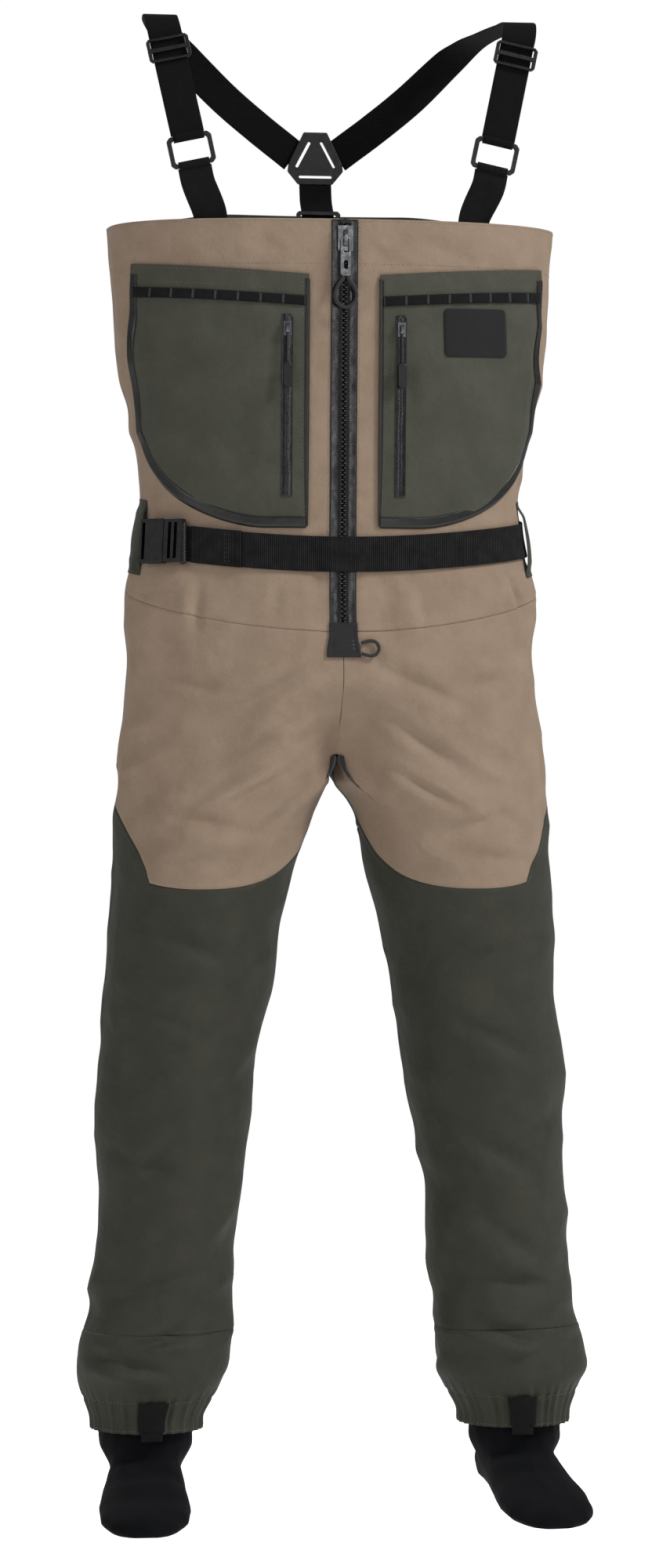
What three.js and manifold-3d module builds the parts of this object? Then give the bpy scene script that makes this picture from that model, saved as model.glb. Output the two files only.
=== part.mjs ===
// Chest waders: a stocking-foot bib garment that hangs from its shoulder straps, as it is worn.
// Millimetres, +Z up. The front faces -Y and +X is the wearer's left. The origin lies midway
// between the shoulders, at the height of the straps.
import * as THREE from 'three';
import { mergeVertices } from 'three/addons/utils/BufferGeometryUtils.js';
import Module from 'manifold-3d';

const wasm = await Module();
wasm.setup();

// Garment lengths, from the shoulders down
const strapDrop = 222; // shoulder to the bib's front edge
const bibDrop = 375; // bib edge to the middle of the belt
const rise = 227; // belt to crotch
const inseam = 776; // crotch to ankle joint
const backRaise = 34; // how much higher the bib stands behind

// Garment widths and depths
const chestWidth = 514;
const chestDepth = 247;
const ribWidth = 488;
const waistWidth = 436;
const waistDepth = 208;
const hipWidth = 466;
const seatWidth = 487;
const seatDepth = 226;
const thighWidth = 230;
const kneeWidth = 176;
const shinWidth = 160;
const cuffWidth = 170; // where the leg blouses above the hem
const hemWidth = 128;
const stance = 214; // from the middle to each ankle

// Shell
const wall = 2; // laminate with its taped seams
const seam = 0.3; // between two panels
const squareness = 2.4; // of the trunk's rounded cross-section

// Front zip
const tapeWidth = 15; // each side
const tapeThickness = 1;
const teethWidth = 8;
const teethHeight = 2.8;
const zipBelowWaist = 116;
const zipTravelTop = 22; // slider's middle below the bib edge

// Pockets
const pocketInner = 40; // from the middle to the pocket's inner edge
const pocketWidth = 206;
const pocketHeight = 301;
const pocketDrop = 57; // bib edge to the pocket's top
const pocketPeak = 4; // how far the filled middle stands off the chest
const pocketHem = 2.6;
const daisyWidth = 11;
const pocketZipLength = 205;
const pocketZipWidth = 12;
const pocketZipAt = 24; // from the pocket's inner edge to the zip
const pocketZipDrop = 42; // pocket top to zip top

// Belt
const webbing = 40;
const webbingThickness = 1.8;
const beltGap = 1.7;
const beltRise = 26; // how much higher the belt runs at the sides
const buckleAt = 200; // along the waist, from the middle to the buckle's mouth
const buckleLength = 30;
const buckleHeight = 50;
const buckleThickness = 9;
const buckleTravel = 32;

// Suspenders
const elastic = 38;
const elasticThickness = 1.8;
const strapAtBib = 152;
const ringWidth = 51;
const ringHeight = 36;
const ringBar = 5;
const ringThickness = 4;
const adjusterWidth = 48;
const adjusterHeight = 27;
const yokeWidth = 66;
const yokeHeight = 61;
const yokeThickness = 5;

// Feet
const neoprene = 4;
const ankleWidth = 108;
const ankleDepth = 112;
const footLength = 272;
const footWidth = 106;
const soleDrop = 66; // ankle joint to sole
const footPitch = 5;
const toeOut = 5;

const near = 0.3; // clearance between pieces that touch

const bibTop = -strapDrop;
const waist = bibTop - bibDrop;
const crotch = waist - rise;
const ankle = crotch - inseam;
const hem = ankle + 12;
const guardTop = hem + 113;
const hipSeam = waist - 87;
const seatSeam = crotch - 81;
const thighEdge = crotch - 149;

const tan = { color: '#897868', roughness: 0.85 };
const olive = { color: '#3e3f38', roughness: 0.85 };
const pocketOlive = { color: '#4b4b43', roughness: 0.85 };
const blackWeb = { color: '#1c1c1d', roughness: 0.8 };
const blackPlastic = { color: '#17181a', roughness: 0.45 };
const rubber = { color: '#1a1a1b', roughness: 0.35 };
const neopreneBlack = { color: '#121316', roughness: 0.95 };
const gunmetal = { color: '#3a3b3d', roughness: 0.35, metalness: 0.9 };

const vec = (x, y, z) => new THREE.Vector3(x, y, z);
const lerp = THREE.MathUtils.lerp;
const radians = THREE.MathUtils.degToRad;
const smooth = (value, from, to) => THREE.MathUtils.smoothstep(value, from, to);

const waders = new THREE.Group();

function add(name, geometry, look) {
  const material = new THREE.MeshStandardMaterial({ metalness: 0, ...look });
  const mesh = new THREE.Mesh(geometry, material);
  mesh.name = name;
  waders.add(mesh);
  return mesh;
}

function addPair(name, geometry, look) {
  add(`${name}_left`, geometry, look);
  add(`${name}_right`, mirrored(geometry), look);
}

// ---------------------------------------------------------------- solids

function solidFrom(positions, index) {
  const geometry = new THREE.BufferGeometry();
  geometry.setAttribute('position', new THREE.Float32BufferAttribute(positions, 3));
  geometry.setIndex(index);
  return geometry;
}

function signedVolume(geometry) {
  const point = geometry.attributes.position;
  const index = geometry.index.array;
  const corner = (k) => vec(0, 0, 0).fromBufferAttribute(point, index[k]);
  let sum = 0;
  for (let k = 0; k < index.length; k += 3) {
    sum += corner(k).dot(corner(k + 1).cross(corner(k + 2)));
  }
  return sum / 6;
}

function flipped(geometry) {
  const index = Array.from(geometry.index.array);
  for (let k = 0; k < index.length; k += 3) {
    [index[k], index[k + 1]] = [index[k + 1], index[k]];
  }
  geometry.setIndex(index);
  return geometry;
}

function outward(geometry) {
  return signedVolume(geometry) < 0 ? flipped(geometry) : geometry;
}

function welded(geometry) {
  const bare = geometry.clone();
  bare.deleteAttribute('normal');
  bare.deleteAttribute('uv');
  return mergeVertices(bare, 1e-4);
}

function mirrored(geometry) {
  return flipped(welded(geometry).scale(-1, 1, 1));
}

function toManifold(geometry) {
  const bare = welded(geometry);
  return new wasm.Manifold(new wasm.Mesh({
    numProp: 3,
    vertProperties: new Float32Array(bare.attributes.position.array),
    triVerts: new Uint32Array(bare.index.array),
  }));
}

function fromManifold(manifold) {
  const mesh = manifold.getMesh();
  return solidFrom(Array.from(mesh.vertProperties), Array.from(mesh.triVerts));
}

function joined(...geometries) {
  return fromManifold(geometries.map(toManifold).reduce((sum, next) => sum.add(next)));
}

function cut(geometry, ...tools) {
  const start = toManifold(geometry);
  return fromManifold(tools.map(toManifold).reduce((rest, next) => rest.subtract(next), start));
}

function box(width, depth, height, x = 0, y = 0, z = 0) {
  return new THREE.BoxGeometry(width, depth, height).translate(x, y, z);
}

// A sheet of cloth with thickness: a grid of points on a surface, raised from `low` to `high`
// along the surface's normal. `has` leaves cells of the grid out, `wraps` closes it round, and
// `facing` is -1 where the columns run clockwise seen from above.
function sheet(at, columns, rows, low, high, { wraps = false, has = () => true, facing = 1 } = {}) {
  const wide = wraps ? columns : columns + 1;
  const positions = [];
  const heightAt = (value, u, v) => (typeof value === 'function' ? value(u, v) : value);
  const step = 1e-3;
  const normalAt = (u, v) => {
    const across = at(u + step, v).sub(at(u - step, v));
    const down = at(u, v + step).sub(at(u, v - step));
    return down.cross(across).normalize().multiplyScalar(facing);
  };
  for (const side of [high, low]) {
    for (let j = 0; j <= rows; j += 1) {
      for (let i = 0; i < wide; i += 1) {
        const u = i / columns;
        const v = j / rows;
        const point = at(u, v).addScaledVector(normalAt(u, v), heightAt(side, u, v));
        positions.push(point.x, point.y, point.z);
      }
    }
  }
  const layer = wide * (rows + 1);
  const vertex = (i, j) => j * wide + (i % wide);
  const filled = (i, j) => {
    const column = wraps ? (i + columns) % columns : i;
    return column >= 0 && column < columns && j >= 0 && j < rows && has(column, j);
  };
  const index = [];
  const quad = (a, b, c, d) => index.push(a, b, c, a, c, d);
  for (let j = 0; j < rows; j += 1) {
    for (let i = 0; i < columns; i += 1) {
      if (!filled(i, j)) continue;
      const corners = [vertex(i, j), vertex(i, j + 1), vertex(i + 1, j + 1), vertex(i + 1, j)];
      const neighbours = [filled(i - 1, j), filled(i, j + 1), filled(i + 1, j), filled(i, j - 1)];
      quad(...corners);
      quad(...corners.map((corner) => corner + layer).reverse());
      neighbours.forEach((inside, side) => {
        const from = corners[side];
        const to = corners[(side + 1) % 4];
        if (!inside) quad(to, from, from + layer, to + layer);
      });
    }
  }
  return welded(outward(solidFrom(positions, index)));
}

// A solid through rings of points, closed by a fan at each end
function loft(rings) {
  const count = rings[0].length;
  const positions = rings.flat().flatMap((point) => point.toArray());
  const index = [];
  for (let j = 0; j + 1 < rings.length; j += 1) {
    for (let i = 0; i < count; i += 1) {
      const next = (i + 1) % count;
      const [a, b] = [j * count + i, j * count + next];
      index.push(a, b, b + count, a, b + count, a + count);
    }
  }
  [[0, 1], [rings.length - 1, -1]].forEach(([ring, turn]) => {
    const middle = rings[ring].reduce((sum, point) => sum.add(point), vec(0, 0, 0)).divideScalar(count);
    const centre = positions.push(...middle.toArray()) / 3 - 1;
    for (let i = 0; i < count; i += 1) {
      const [a, b] = [ring * count + i, ring * count + ((i + 1) % count)];
      index.push(...(turn > 0 ? [centre, b, a] : [centre, a, b]));
    }
  });
  return outward(solidFrom(positions, index));
}

// A flat strap along a curve, with its face turned as `faces` says at each point
function band(points, faces, width, thickness, steps) {
  const path = new THREE.CatmullRomCurve3(points);
  const facing = new THREE.CatmullRomCurve3(faces);
  const at = (u, v) => {
    const along = THREE.MathUtils.clamp(v, 0, 1);
    const tangent = path.getTangent(along);
    const side = tangent.clone().cross(facing.getPoint(along)).normalize();
    return path.getPoint(along).addScaledVector(side, (u - 0.5) * width).addScaledVector(tangent, v - along);
  };
  return sheet(at, 1, steps, -thickness / 2, thickness / 2);
}

function cord(points, diameter, steps) {
  const sides = 8;
  const section = new THREE.Shape();
  for (let k = 0; k < sides; k += 1) {
    const angle = (2 * Math.PI * (k + 0.5)) / sides;
    const [x, y] = [Math.cos(angle) * diameter / 2, Math.sin(angle) * diameter / 2];
    if (k === 0) section.moveTo(x, y);
    else section.lineTo(x, y);
  }
  const extrudePath = new THREE.CatmullRomCurve3(points);
  return outward(welded(new THREE.ExtrudeGeometry(section, { steps, extrudePath })));
}

function plate(outline, holes, thickness) {
  const shape = new THREE.Shape(outline.map(([x, y]) => new THREE.Vector2(x, y)));
  for (const hole of holes) {
    shape.holes.push(new THREE.Path(hole.map(([x, y]) => new THREE.Vector2(x, y))));
  }
  const geometry = new THREE.ExtrudeGeometry(shape, { depth: thickness, bevelEnabled: false });
  return outward(welded(geometry));
}

// The outline of a rectangle with cut corners, about a centre
function tablet(width, height, corner, x = 0, y = 0) {
  const [w, h] = [width / 2, height / 2];
  return [
    [x - w + corner, y - h], [x + w - corner, y - h], [x + w, y - h + corner], [x + w, y + h - corner],
    [x + w - corner, y + h], [x - w + corner, y + h], [x - w, y + h - corner], [x - w, y - h + corner],
  ];
}

// ---------------------------------------------------------------- the garment's form

// A smooth curve through stations [position, value, value, ...], read at a position
function through(stations, position) {
  const last = stations.length - 1;
  const found = stations.findIndex(([place], k) => k === last || position >= stations[k + 1][0]);
  const k = Math.min(Math.max(found, 0), last - 1);
  const [a, b] = [stations[k], stations[k + 1]];
  const t = THREE.MathUtils.clamp((position - a[0]) / (b[0] - a[0]), 0, 1);
  const slope = (m, column) => {
    const [before, after] = [stations[Math.max(m - 1, 0)], stations[Math.min(m + 1, last)]];
    return (after[column] - before[column]) / (after[0] - before[0]);
  };
  return a.slice(1).map((value, n) => {
    const column = n + 1;
    const length = b[0] - a[0];
    const [leaving, arriving] = [slope(k, column) * length, slope(k + 1, column) * length];
    const [t2, t3] = [t * t, t * t * t];
    const places = value * (2 * t3 - 3 * t2 + 1) + b[column] * (3 * t2 - 2 * t3);
    return places + leaving * (t3 - 2 * t2 + t) + arriving * (t3 - t2);
  });
}

const frontAt = (share) => -lerp(chestDepth, waistDepth, share) / 2;
const trunkStations = [
  // height, half width, front, back
  [bibTop + backRaise, chestWidth / 2 + 1, frontAt(-0.1), chestDepth / 2],
  [bibTop, chestWidth / 2, frontAt(0), chestDepth / 2 - 2],
  [bibTop - 0.45 * bibDrop, ribWidth / 2, frontAt(0.45), 112],
  [bibTop - 0.72 * bibDrop, (ribWidth + waistWidth) / 4 - 9, frontAt(0.72), 106],
  [bibTop - 0.9 * bibDrop, waistWidth / 2, frontAt(0.9), waistDepth / 2],
  [waist - 0.18 * rise, hipWidth / 2, frontAt(0.95), 108],
  [waist - 0.6 * rise, hipWidth / 2 + 3, -seatDepth / 2, seatDepth / 2 + 4],
  [crotch, seatWidth / 2, -seatDepth / 2 + 4, seatDepth / 2],
];

const legStations = [
  // height, sideways place, half width, half depth
  [crotch, 124, thighWidth / 2 + 4, 113],
  [crotch - 36, 130, thighWidth / 2, 111],
  [crotch - 106, 144, 107, 106],
  [crotch - 176, 155, 101, 101],
  [crotch - 276, 168, 93.5, 94],
  [crotch - 391, 180, kneeWidth / 2, 88],
  [crotch - 480, 187, 83, 83],
  [crotch - 570, 194, shinWidth / 2, 80],
  [guardTop, 201, shinWidth / 2 + 1, 80],
  [hem + 78, 206, cuffWidth / 2, 82],
  [hem + 46, 209, 79, 77],
  [hem + 16, 212, hemWidth / 2 + 1.5, 67],
  [hem, 212, hemWidth / 2, 66],
];

const power = (value, exponent) => Math.sign(value) * Math.abs(value) ** exponent;

// A point on the trunk: the angle runs from the front's middle towards +X
function trunkByAngle(angle, z) {
  const [half, front, back] = through(trunkStations, z);
  const x = half * power(Math.sin(angle), 2 / squareness);
  const reach = power(Math.cos(angle), 2 / squareness);
  const cleft = 1 - 0.42 * smooth(-z, -crotch - 90, -crotch) * Math.exp(-((x / 42) ** 2));
  const middle = (front + back) / 2;
  return vec(x, middle - ((back - front) / 2) * reach * cleft, z);
}

const roundSteps = 96;
const loops = new Map();

function loopAt(z) {
  const key = Math.round(z * 100);
  if (!loops.has(key)) {
    const points = [];
    const lengths = [0];
    for (let k = 0; k <= roundSteps; k += 1) {
      points.push(trunkByAngle((Math.PI * k) / roundSteps, z));
      if (k) lengths.push(lengths[k - 1] + points[k].distanceTo(points[k - 1]));
    }
    loops.set(key, { points, lengths });
  }
  return loops.get(key);
}

const halfRound = (z) => loopAt(z).lengths[roundSteps];

// A point on the trunk by its distance round from the front's middle, positive towards +X
function trunk(along, z) {
  const { points, lengths } = loopAt(z);
  const total = lengths[roundSteps];
  const wrapped = ((((along + total) % (2 * total)) + 2 * total) % (2 * total)) - total;
  const distance = Math.abs(wrapped);
  let k = 1;
  while (k < roundSteps && lengths[k] < distance) k += 1;
  const share = (distance - lengths[k - 1]) / (lengths[k] - lengths[k - 1]);
  const point = points[k - 1].clone().lerp(points[k], share);
  if (wrapped < 0) point.x *= -1;
  return vec(point.x, point.y, z);
}

// Where the side seam lies, as a distance round the trunk
const sideSeam = (z) => {
  const { points, lengths } = loopAt(z);
  return lengths[points.length >> 1];
};

// A point on the left leg: the angle runs from the leg's front to its outer side. At the crotch
// the leg's outline is half of the trunk's, closed by a flat inner side.
const cornerAngle = radians(50);
const splitHeight = 70;

function leg(angle, z) {
  const [centre, half, depth] = through(legStations, z);
  const round = vec(centre + half * Math.sin(angle), -depth * Math.cos(angle), z);
  const share = smooth(-z, -crotch, -crotch + splitHeight);
  if (share >= 1) return round;
  const full = halfRound(crotch);
  const turn = (angle + cornerAngle) / (Math.PI + 2 * cornerAngle);
  const start = trunk(0, crotch);
  const end = trunk(full, crotch);
  let flat;
  if (turn >= 0 && turn <= 1) {
    flat = trunk(turn * full, crotch);
  } else {
    const past = turn < 0 ? -turn : turn - 1;
    const whole = (Math.PI / 2 - cornerAngle) / (Math.PI + 2 * cornerAngle);
    const edge = turn < 0 ? start : end;
    flat = vec(0, lerp(edge.y, (start.y + end.y) / 2, Math.min(past / whole, 1)), crotch);
  }
  flat.x = Math.max(flat.x, seam / 2);
  return vec(lerp(flat.x, round.x, share), lerp(flat.y, round.y, share), z);
}

// The lower edge of the tan thigh, over the angle from the leg's front
function thighEdgeAt(angle) {
  const [inner, low, corner, outer] = [-90, 5, 39, 90].map(radians);
  if (angle >= corner) return thighEdge + 7 + 94 * ((angle - corner) / (outer - corner)) ** 0.7;
  if (angle >= low) return thighEdge + 7 * ((angle - low) / (corner - low)) ** 2;
  return thighEdge + 83 * ((low - angle) / (low - inner)) ** 2.6;
}

// The seam between bib and hips, over the share of the way from the middle to the side
const hipSeamAt = (share) => hipSeam + 52 * share ** 2;

// The trunk's frame at a place: x runs round towards +X, y up, z outwards
function frameAt(along, z, lift) {
  const step = 0.5;
  const across = trunk(along + step, z).sub(trunk(along - step, z)).normalize();
  const rough = trunk(along, z + step).sub(trunk(along, z - step)).normalize();
  const out = across.clone().cross(rough).normalize();
  const up = out.clone().cross(across);
  return { across, up, out, place: trunk(along, z).addScaledVector(out, lift) };
}

function seat(geometry, along, z, lift) {
  const { across, up, out, place } = frameAt(along, z, lift);
  return geometry.clone().applyMatrix4(new THREE.Matrix4().makeBasis(across, up, out).setPosition(place));
}

// ---------------------------------------------------------------- shell panels

function chestPanel() {
  const at = (u, v) => {
    const z = lerp(bibTop, hipSeamAt(u), v);
    return trunk(lerp(seam / 2 + 1, sideSeam(z) - seam / 2, u), z);
  };
  return sheet(at, 9, 14, -wall, 0);
}

function backPanel() {
  const at = (u, v) => {
    const share = 1 - Math.abs(2 * u - 1);
    const top = bibTop + backRaise * smooth(share, 0, 0.7);
    const z = lerp(top, hipSeamAt(1) - 8 * share, v);
    const edge = sideSeam(z) + seam / 2;
    return trunk(lerp(edge, 2 * halfRound(z) - edge, u), z);
  };
  return sheet(at, 18, 14, -wall, 0);
}

// Angles round the leg at the grid's columns: first its flat inner side, then the rest up to the
// outer seam, a hair short of each seam
const flatColumns = 2;
const legColumns = 11;
const seamTurn = 0.003;
const frontAngles = Array.from({ length: legColumns + 1 }, (_, i) => (i < flatColumns
  ? lerp(-Math.PI / 2 + seamTurn, -cornerAngle, i / flatColumns)
  : lerp(-cornerAngle, Math.PI / 2 - seamTurn, (i - flatColumns) / (legColumns - flatColumns))));
const backAngles = frontAngles.map((angle) => Math.PI - angle);

function angleAt(angles, u) {
  const place = THREE.MathUtils.clamp(u, 0, 1) * legColumns;
  const i = Math.min(Math.floor(place), legColumns - 1);
  return lerp(angles[i], angles[i + 1], place - i);
}

// Cloth that covers hip and thigh. Above the crotch it starts at the trunk's middle, so there the
// columns of the leg's flat inner side are left out.
function hipCloth({ angles, rows, split, top, bottom, alongAt, facing }) {
  const at = (u, v) => {
    const down = v * rows;
    const body = Math.max(0, (u * legColumns - flatColumns) / (legColumns - flatColumns));
    if (down < split) {
      const z = lerp(top(body), crotch, down / split);
      return trunk(alongAt(body, z), z);
    }
    const angle = angleAt(angles, u);
    return leg(angle, lerp(crotch, bottom(angle), (down - split) / (rows - split)));
  };
  const has = (i, j) => i >= flatColumns || j >= split;
  return sheet(at, legColumns, rows, -wall, 0, { has, facing });
}

function hipPanel() {
  return hipCloth({
    angles: frontAngles, rows: 11, split: 5, facing: 1,
    top: (share) => hipSeamAt(share) - seam,
    bottom: thighEdgeAt,
    alongAt: (share, z) => lerp(seam / 2, sideSeam(z) - seam / 2, share),
  });
}

function seatPanel() {
  return hipCloth({
    angles: backAngles, rows: 9, split: 5, facing: -1,
    top: (share) => hipSeamAt(1) - 8 * (1 - share) - seam,
    bottom: () => seatSeam,
    alongAt: (share, z) => lerp(halfRound(z) - seam / 2, sideSeam(z) + seam / 2, share),
  });
}

function legCloth(angles, topAt, facing) {
  const at = (u, v) => {
    const angle = angleAt(angles, u);
    return leg(angle, lerp(topAt(angle) - seam, guardTop, v));
  };
  return sheet(at, legColumns, 10, -wall, 0, { facing });
}

function gravelGuard() {
  const at = (u, v) => leg(2 * Math.PI * u, lerp(guardTop - seam, hem, v));
  return sheet(at, 20, 5, -wall, 0, { wraps: true });
}

addPair('chest_panel', chestPanel(), tan);
add('back_panel', backPanel(), tan);
addPair('hip_panel', hipPanel(), tan);
addPair('seat_panel', seatPanel(), olive);
addPair('shin_panel', legCloth(frontAngles, thighEdgeAt, 1), olive);
addPair('calf_panel', legCloth(backAngles, () => seatSeam, -1), olive);
addPair('gravel_guard', gravelGuard(), olive);

// ---------------------------------------------------------------- neoprene feet

const ankleCut = ankle - near;
const legAtGuard = through(legStations, guardTop);

function sockAnkle() {
  const top = guardTop - 6;
  const at = (u, v) => {
    const z = lerp(top, ankle, v);
    const open = 1 - smooth(v, 0, 0.35);
    const angle = 2 * Math.PI * u;
    const [centre] = through(legStations, z);
    const x = lerp(stance, centre, open);
    const half = lerp(ankleWidth / 2, legAtGuard[1] - wall - 0.7, open);
    const depth = lerp(ankleDepth / 2, legAtGuard[2] - wall - 0.7, open);
    return vec(x + half * Math.sin(angle), -depth * Math.cos(angle), z);
  };
  return sheet(at, 16, 5, -neoprene, 0, { wraps: true });
}

// The foot in its own frame: the ankle joint at the origin, toes along -Y, the sole level
const footStations = [
  // place from heel to toe, half width, top
  [-66, 14, -38], [-58, 30, -22], [-36, 38, -8], [0, 40, -4], [44, 44, -10], [88, 49, -24],
  [130, footWidth / 2, -32], [168, 50, -40], [192, 38, -46], [footLength - 66, 16, -52],
];

function footSolid(inset) {
  const sides = 12;
  const floor = inset ? inset - soleDrop : -soleDrop - 3;
  const rings = footStations.map(([place, half, top], k) => {
    const end = k === 0 ? inset : k === footStations.length - 1 ? -inset : 0;
    const middle = (top - inset + floor) / 2;
    const high = (top - inset - floor) / 2;
    return Array.from({ length: sides }, (_, n) => {
      const angle = (2 * Math.PI * n) / sides;
      const width = (half - inset) * power(Math.cos(angle), 0.75);
      return vec(width, -place - end, middle + high * power(Math.sin(angle), 0.75));
    });
  });
  const throat = [[16, 0, 0], [-8, 0, 0], [-34, 14, 6]].map(([z, in1, in2]) => {
    const half = ankleWidth / 2 - inset - in1;
    const depth = ankleDepth / 2 - inset - in2;
    return Array.from({ length: 16 }, (_, n) => {
      const angle = (2 * Math.PI * n) / 16;
      return vec(half * Math.sin(angle), -depth * Math.cos(angle), z + (z > 0 ? inset : 0));
    });
  });
  return joined(loft(rings), loft(throat));
}

function placeFoot(geometry) {
  return geometry.rotateX(radians(footPitch)).rotateZ(radians(toeOut)).translate(stance, 0, ankle);
}

const soleEdge = -soleDrop + 7;
const footShell = cut(
  footSolid(0),
  footSolid(neoprene),
  box(800, 800, 20, 0, 0, -soleDrop - 10),
);
const trimTop = box(400, 400, 60, 0, 0, 30).translate(stance, 0, ankleCut);
const footUpper = cut(footShell, box(800, 800, 100, 0, 0, soleEdge - 50 + seam / 2));
const footSole = cut(footShell, box(800, 800, 300, 0, 0, soleEdge + 150 - seam / 2));

addPair('sock_ankle', sockAnkle(), neopreneBlack);
addPair('sock_foot', cut(placeFoot(footUpper), trimTop), neopreneBlack);
addPair('sock_sole', placeFoot(footSole), neopreneBlack);

// Lace hook tab at the front of each guard
const tabWidth = 28;
const tabHeight = 34;

function guardHook() {
  const turn = tabWidth / hemWidth;
  const at = (u, v) => leg(lerp(-turn, turn, u), hem + 3 + tabHeight * (1 - v));
  return sheet(at, 4, 4, 1.2, 3.4);
}
addPair('guard_hook', guardHook(), blackWeb);

// ---------------------------------------------------------------- front zip

const zipBottom = waist - zipBelowWaist;
const teethBottom = zipBottom + 40;
const tapeLow = near;
const teethLow = tapeLow + tapeThickness + near;

function zipTape() {
  const at = (u, v) => trunk(lerp(seam / 2, tapeWidth, u), lerp(bibTop - 1, zipBottom + 1, v));
  return sheet(at, 1, 16, tapeLow, tapeLow + tapeThickness);
}

function zipTeeth() {
  const at = (u, v) => trunk(lerp(-teethWidth, teethWidth, u) / 2, lerp(bibTop - 4, teethBottom, v));
  return sheet(at, 1, 16, teethLow, teethLow + teethHeight);
}

addPair('zip_tape', zipTape(), rubber);
add('zip_teeth', zipTeeth(), blackPlastic);

function zipBase() {
  const at = (u, v) => {
    const spread = tapeWidth + 1 + 3 * smooth(v, 0.3, 0.9);
    return trunk(lerp(-spread, spread, u), lerp(teethBottom - 1, zipBottom, v));
  };
  return sheet(at, 4, 4, teethLow, teethLow + 1.6);
}
add('zip_base', zipBase(), rubber);

// Slider, in the frame of its seat: x across, y up, z outwards
const sliderZ = bibTop - zipTravelTop;
const sliderDeck = teethLow + teethHeight + near + 2;
// The bridge is a low arch about the hinge, so a pull clears it all the way round
const hingeRise = 2.2; // from the slider's deck to the pull's hinge
const bridgeRise = 3.1;
const bridgeShare = 0.33; // half the bridge's length, of the slider's
function zipSlider(width, length, channel, channelHeight, deck) {
  const body = box(width, length, deck - near, 0, 0, (deck + near) / 2);
  const slot = box(channel, length + 2, channelHeight * 2, 0, 0, 0);
  const arch = new THREE.CylinderGeometry(1, 1, 4, 16).rotateZ(Math.PI / 2)
    .scale(1, length * bridgeShare, bridgeRise).translate(0, 0, deck + hingeRise);
  const below = box(20, length, 10, 0, 0, deck - 5.1);
  const eye = box(8, length * 0.36, 3.8, 0, 0, deck + hingeRise);
  return joined(cut(body, slot), cut(arch, eye, below));
}

const barHeight = sliderDeck + hingeRise;
const channelRoof = teethLow + teethHeight + near;
const slider = cut(
  zipSlider(17, 28, teethWidth + 2 * near, channelRoof, sliderDeck),
  box(40, 40, 2 * (tapeLow + tapeThickness + near), 0, 0, 0),
);
add('zip_slider', seat(slider, 0, sliderZ, 0), gunmetal);

// A pull hangs from a crossbar through the slider's eye, between two side bars
function pullTab(width, length, thickness, inside, bar) {
  const outline = tablet(width, length, width * 0.2, 0, -length / 2 + bar);
  const window = tablet(inside, length * 0.34, 1, 0, -length * 0.17 - bar * 0.6);
  const slot = tablet(inside * 0.7, length * 0.22, 1, 0, -length * 0.68);
  return plate(outline, [window, slot], thickness).translate(0, 0, -thickness / 2);
}

// Pulls hang plumb, so they are placed upright instead of along the cloth
function hang(geometry, along, z, lift) {
  const place = seat(new THREE.BufferGeometry().setFromPoints([vec(0, 0, 0)]), along, z, lift);
  const [x, y, height] = place.attributes.position.array;
  const ahead = seat(new THREE.BufferGeometry().setFromPoints([vec(0, 0, 0)]), along, z, lift + 1);
  const turn = Math.atan2(ahead.attributes.position.array[0] - x, y - ahead.attributes.position.array[1]);
  return geometry.clone().rotateX(Math.PI / 2).rotateZ(turn).translate(x, y, height);
}

const pullLength = 44;
const pull = pullTab(12, pullLength, 2.4, 6.4, 1.3);
add('zip_pull', hang(pull, 0, sliderZ, barHeight), gunmetal);

const pullFoot = -pullLength + 1.3;
const loopShape = [
  [-2.4, 0], [-4.6, -4], [-9, -10], [-12, -17], [-11.5, -25], [-6.5, -31.5], [0, -34],
  [6.5, -31.5], [11.5, -25], [12, -17], [9, -10], [4.6, -4], [2.4, 0],
];
const pullLoop = cord(loopShape.map(([x, y]) => vec(x, y + pullFoot - 0.9, 0)), 4, 18);
add('zip_pull_loop', hang(pullLoop, 0, sliderZ, barHeight), blackWeb);

// Finger loop at the foot of the zip, held while the slider is pulled up
const baseLoopShape = [
  [0, 6], [5, 7.5], [11, 8.5], [17, 6.5], [20, 0], [17, -6.5], [11, -8.5], [5, -7.5], [0, -6],
];
const baseLoopX = tapeWidth + 5;
const baseLoop = cord(baseLoopShape.map(([x, y]) => vec(x, y, 0)), 4, 14);
add('zip_base_loop', seat(baseLoop, baseLoopX, zipBottom + 10, 3.2), blackWeb);

// ---------------------------------------------------------------- pockets

const pocketTop = bibTop - pocketDrop;
const pocketFloor = pocketTop - pocketHeight + 14;

// The pocket's outer edge, as a distance round the chest, from its top to its floor. Its lower
// corner is one long sweep.
const sweepHeight = 125;
const floorWidth = 50;
function pocketOuterAt(z) {
  const depth = (pocketTop + 10 - z) / (pocketTop + 10 - pocketFloor);
  const bow = 7 * Math.sin(Math.PI * Math.min(Math.max(depth, 0) / 0.8, 1));
  const below = 1 - THREE.MathUtils.clamp((z - pocketFloor) / sweepHeight, 0, 1);
  const full = (1 - below ** 2.2) ** 0.62;
  return pocketInner + floorWidth + (pocketWidth - floorWidth) * full + bow;
}

function pocketPoint(u, v) {
  const first = lerp(pocketTop - 5, pocketFloor, v);
  const outer = pocketOuterAt(first);
  const along = lerp(pocketInner, outer, u);
  return trunk(along, first + (1 - v) * 15 * u);
}

const pocketLow = near + 1.2;
const domeAt = (u, v) => {
  const margin = Math.min(u, 1 - u, v * 1.3, (1 - v) * 1.3);
  return smooth(margin, 0, 0.16);
};
const pocketHighAt = (u, v) => pocketHem + (pocketPeak - pocketHem) * domeAt(u, v);

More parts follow.
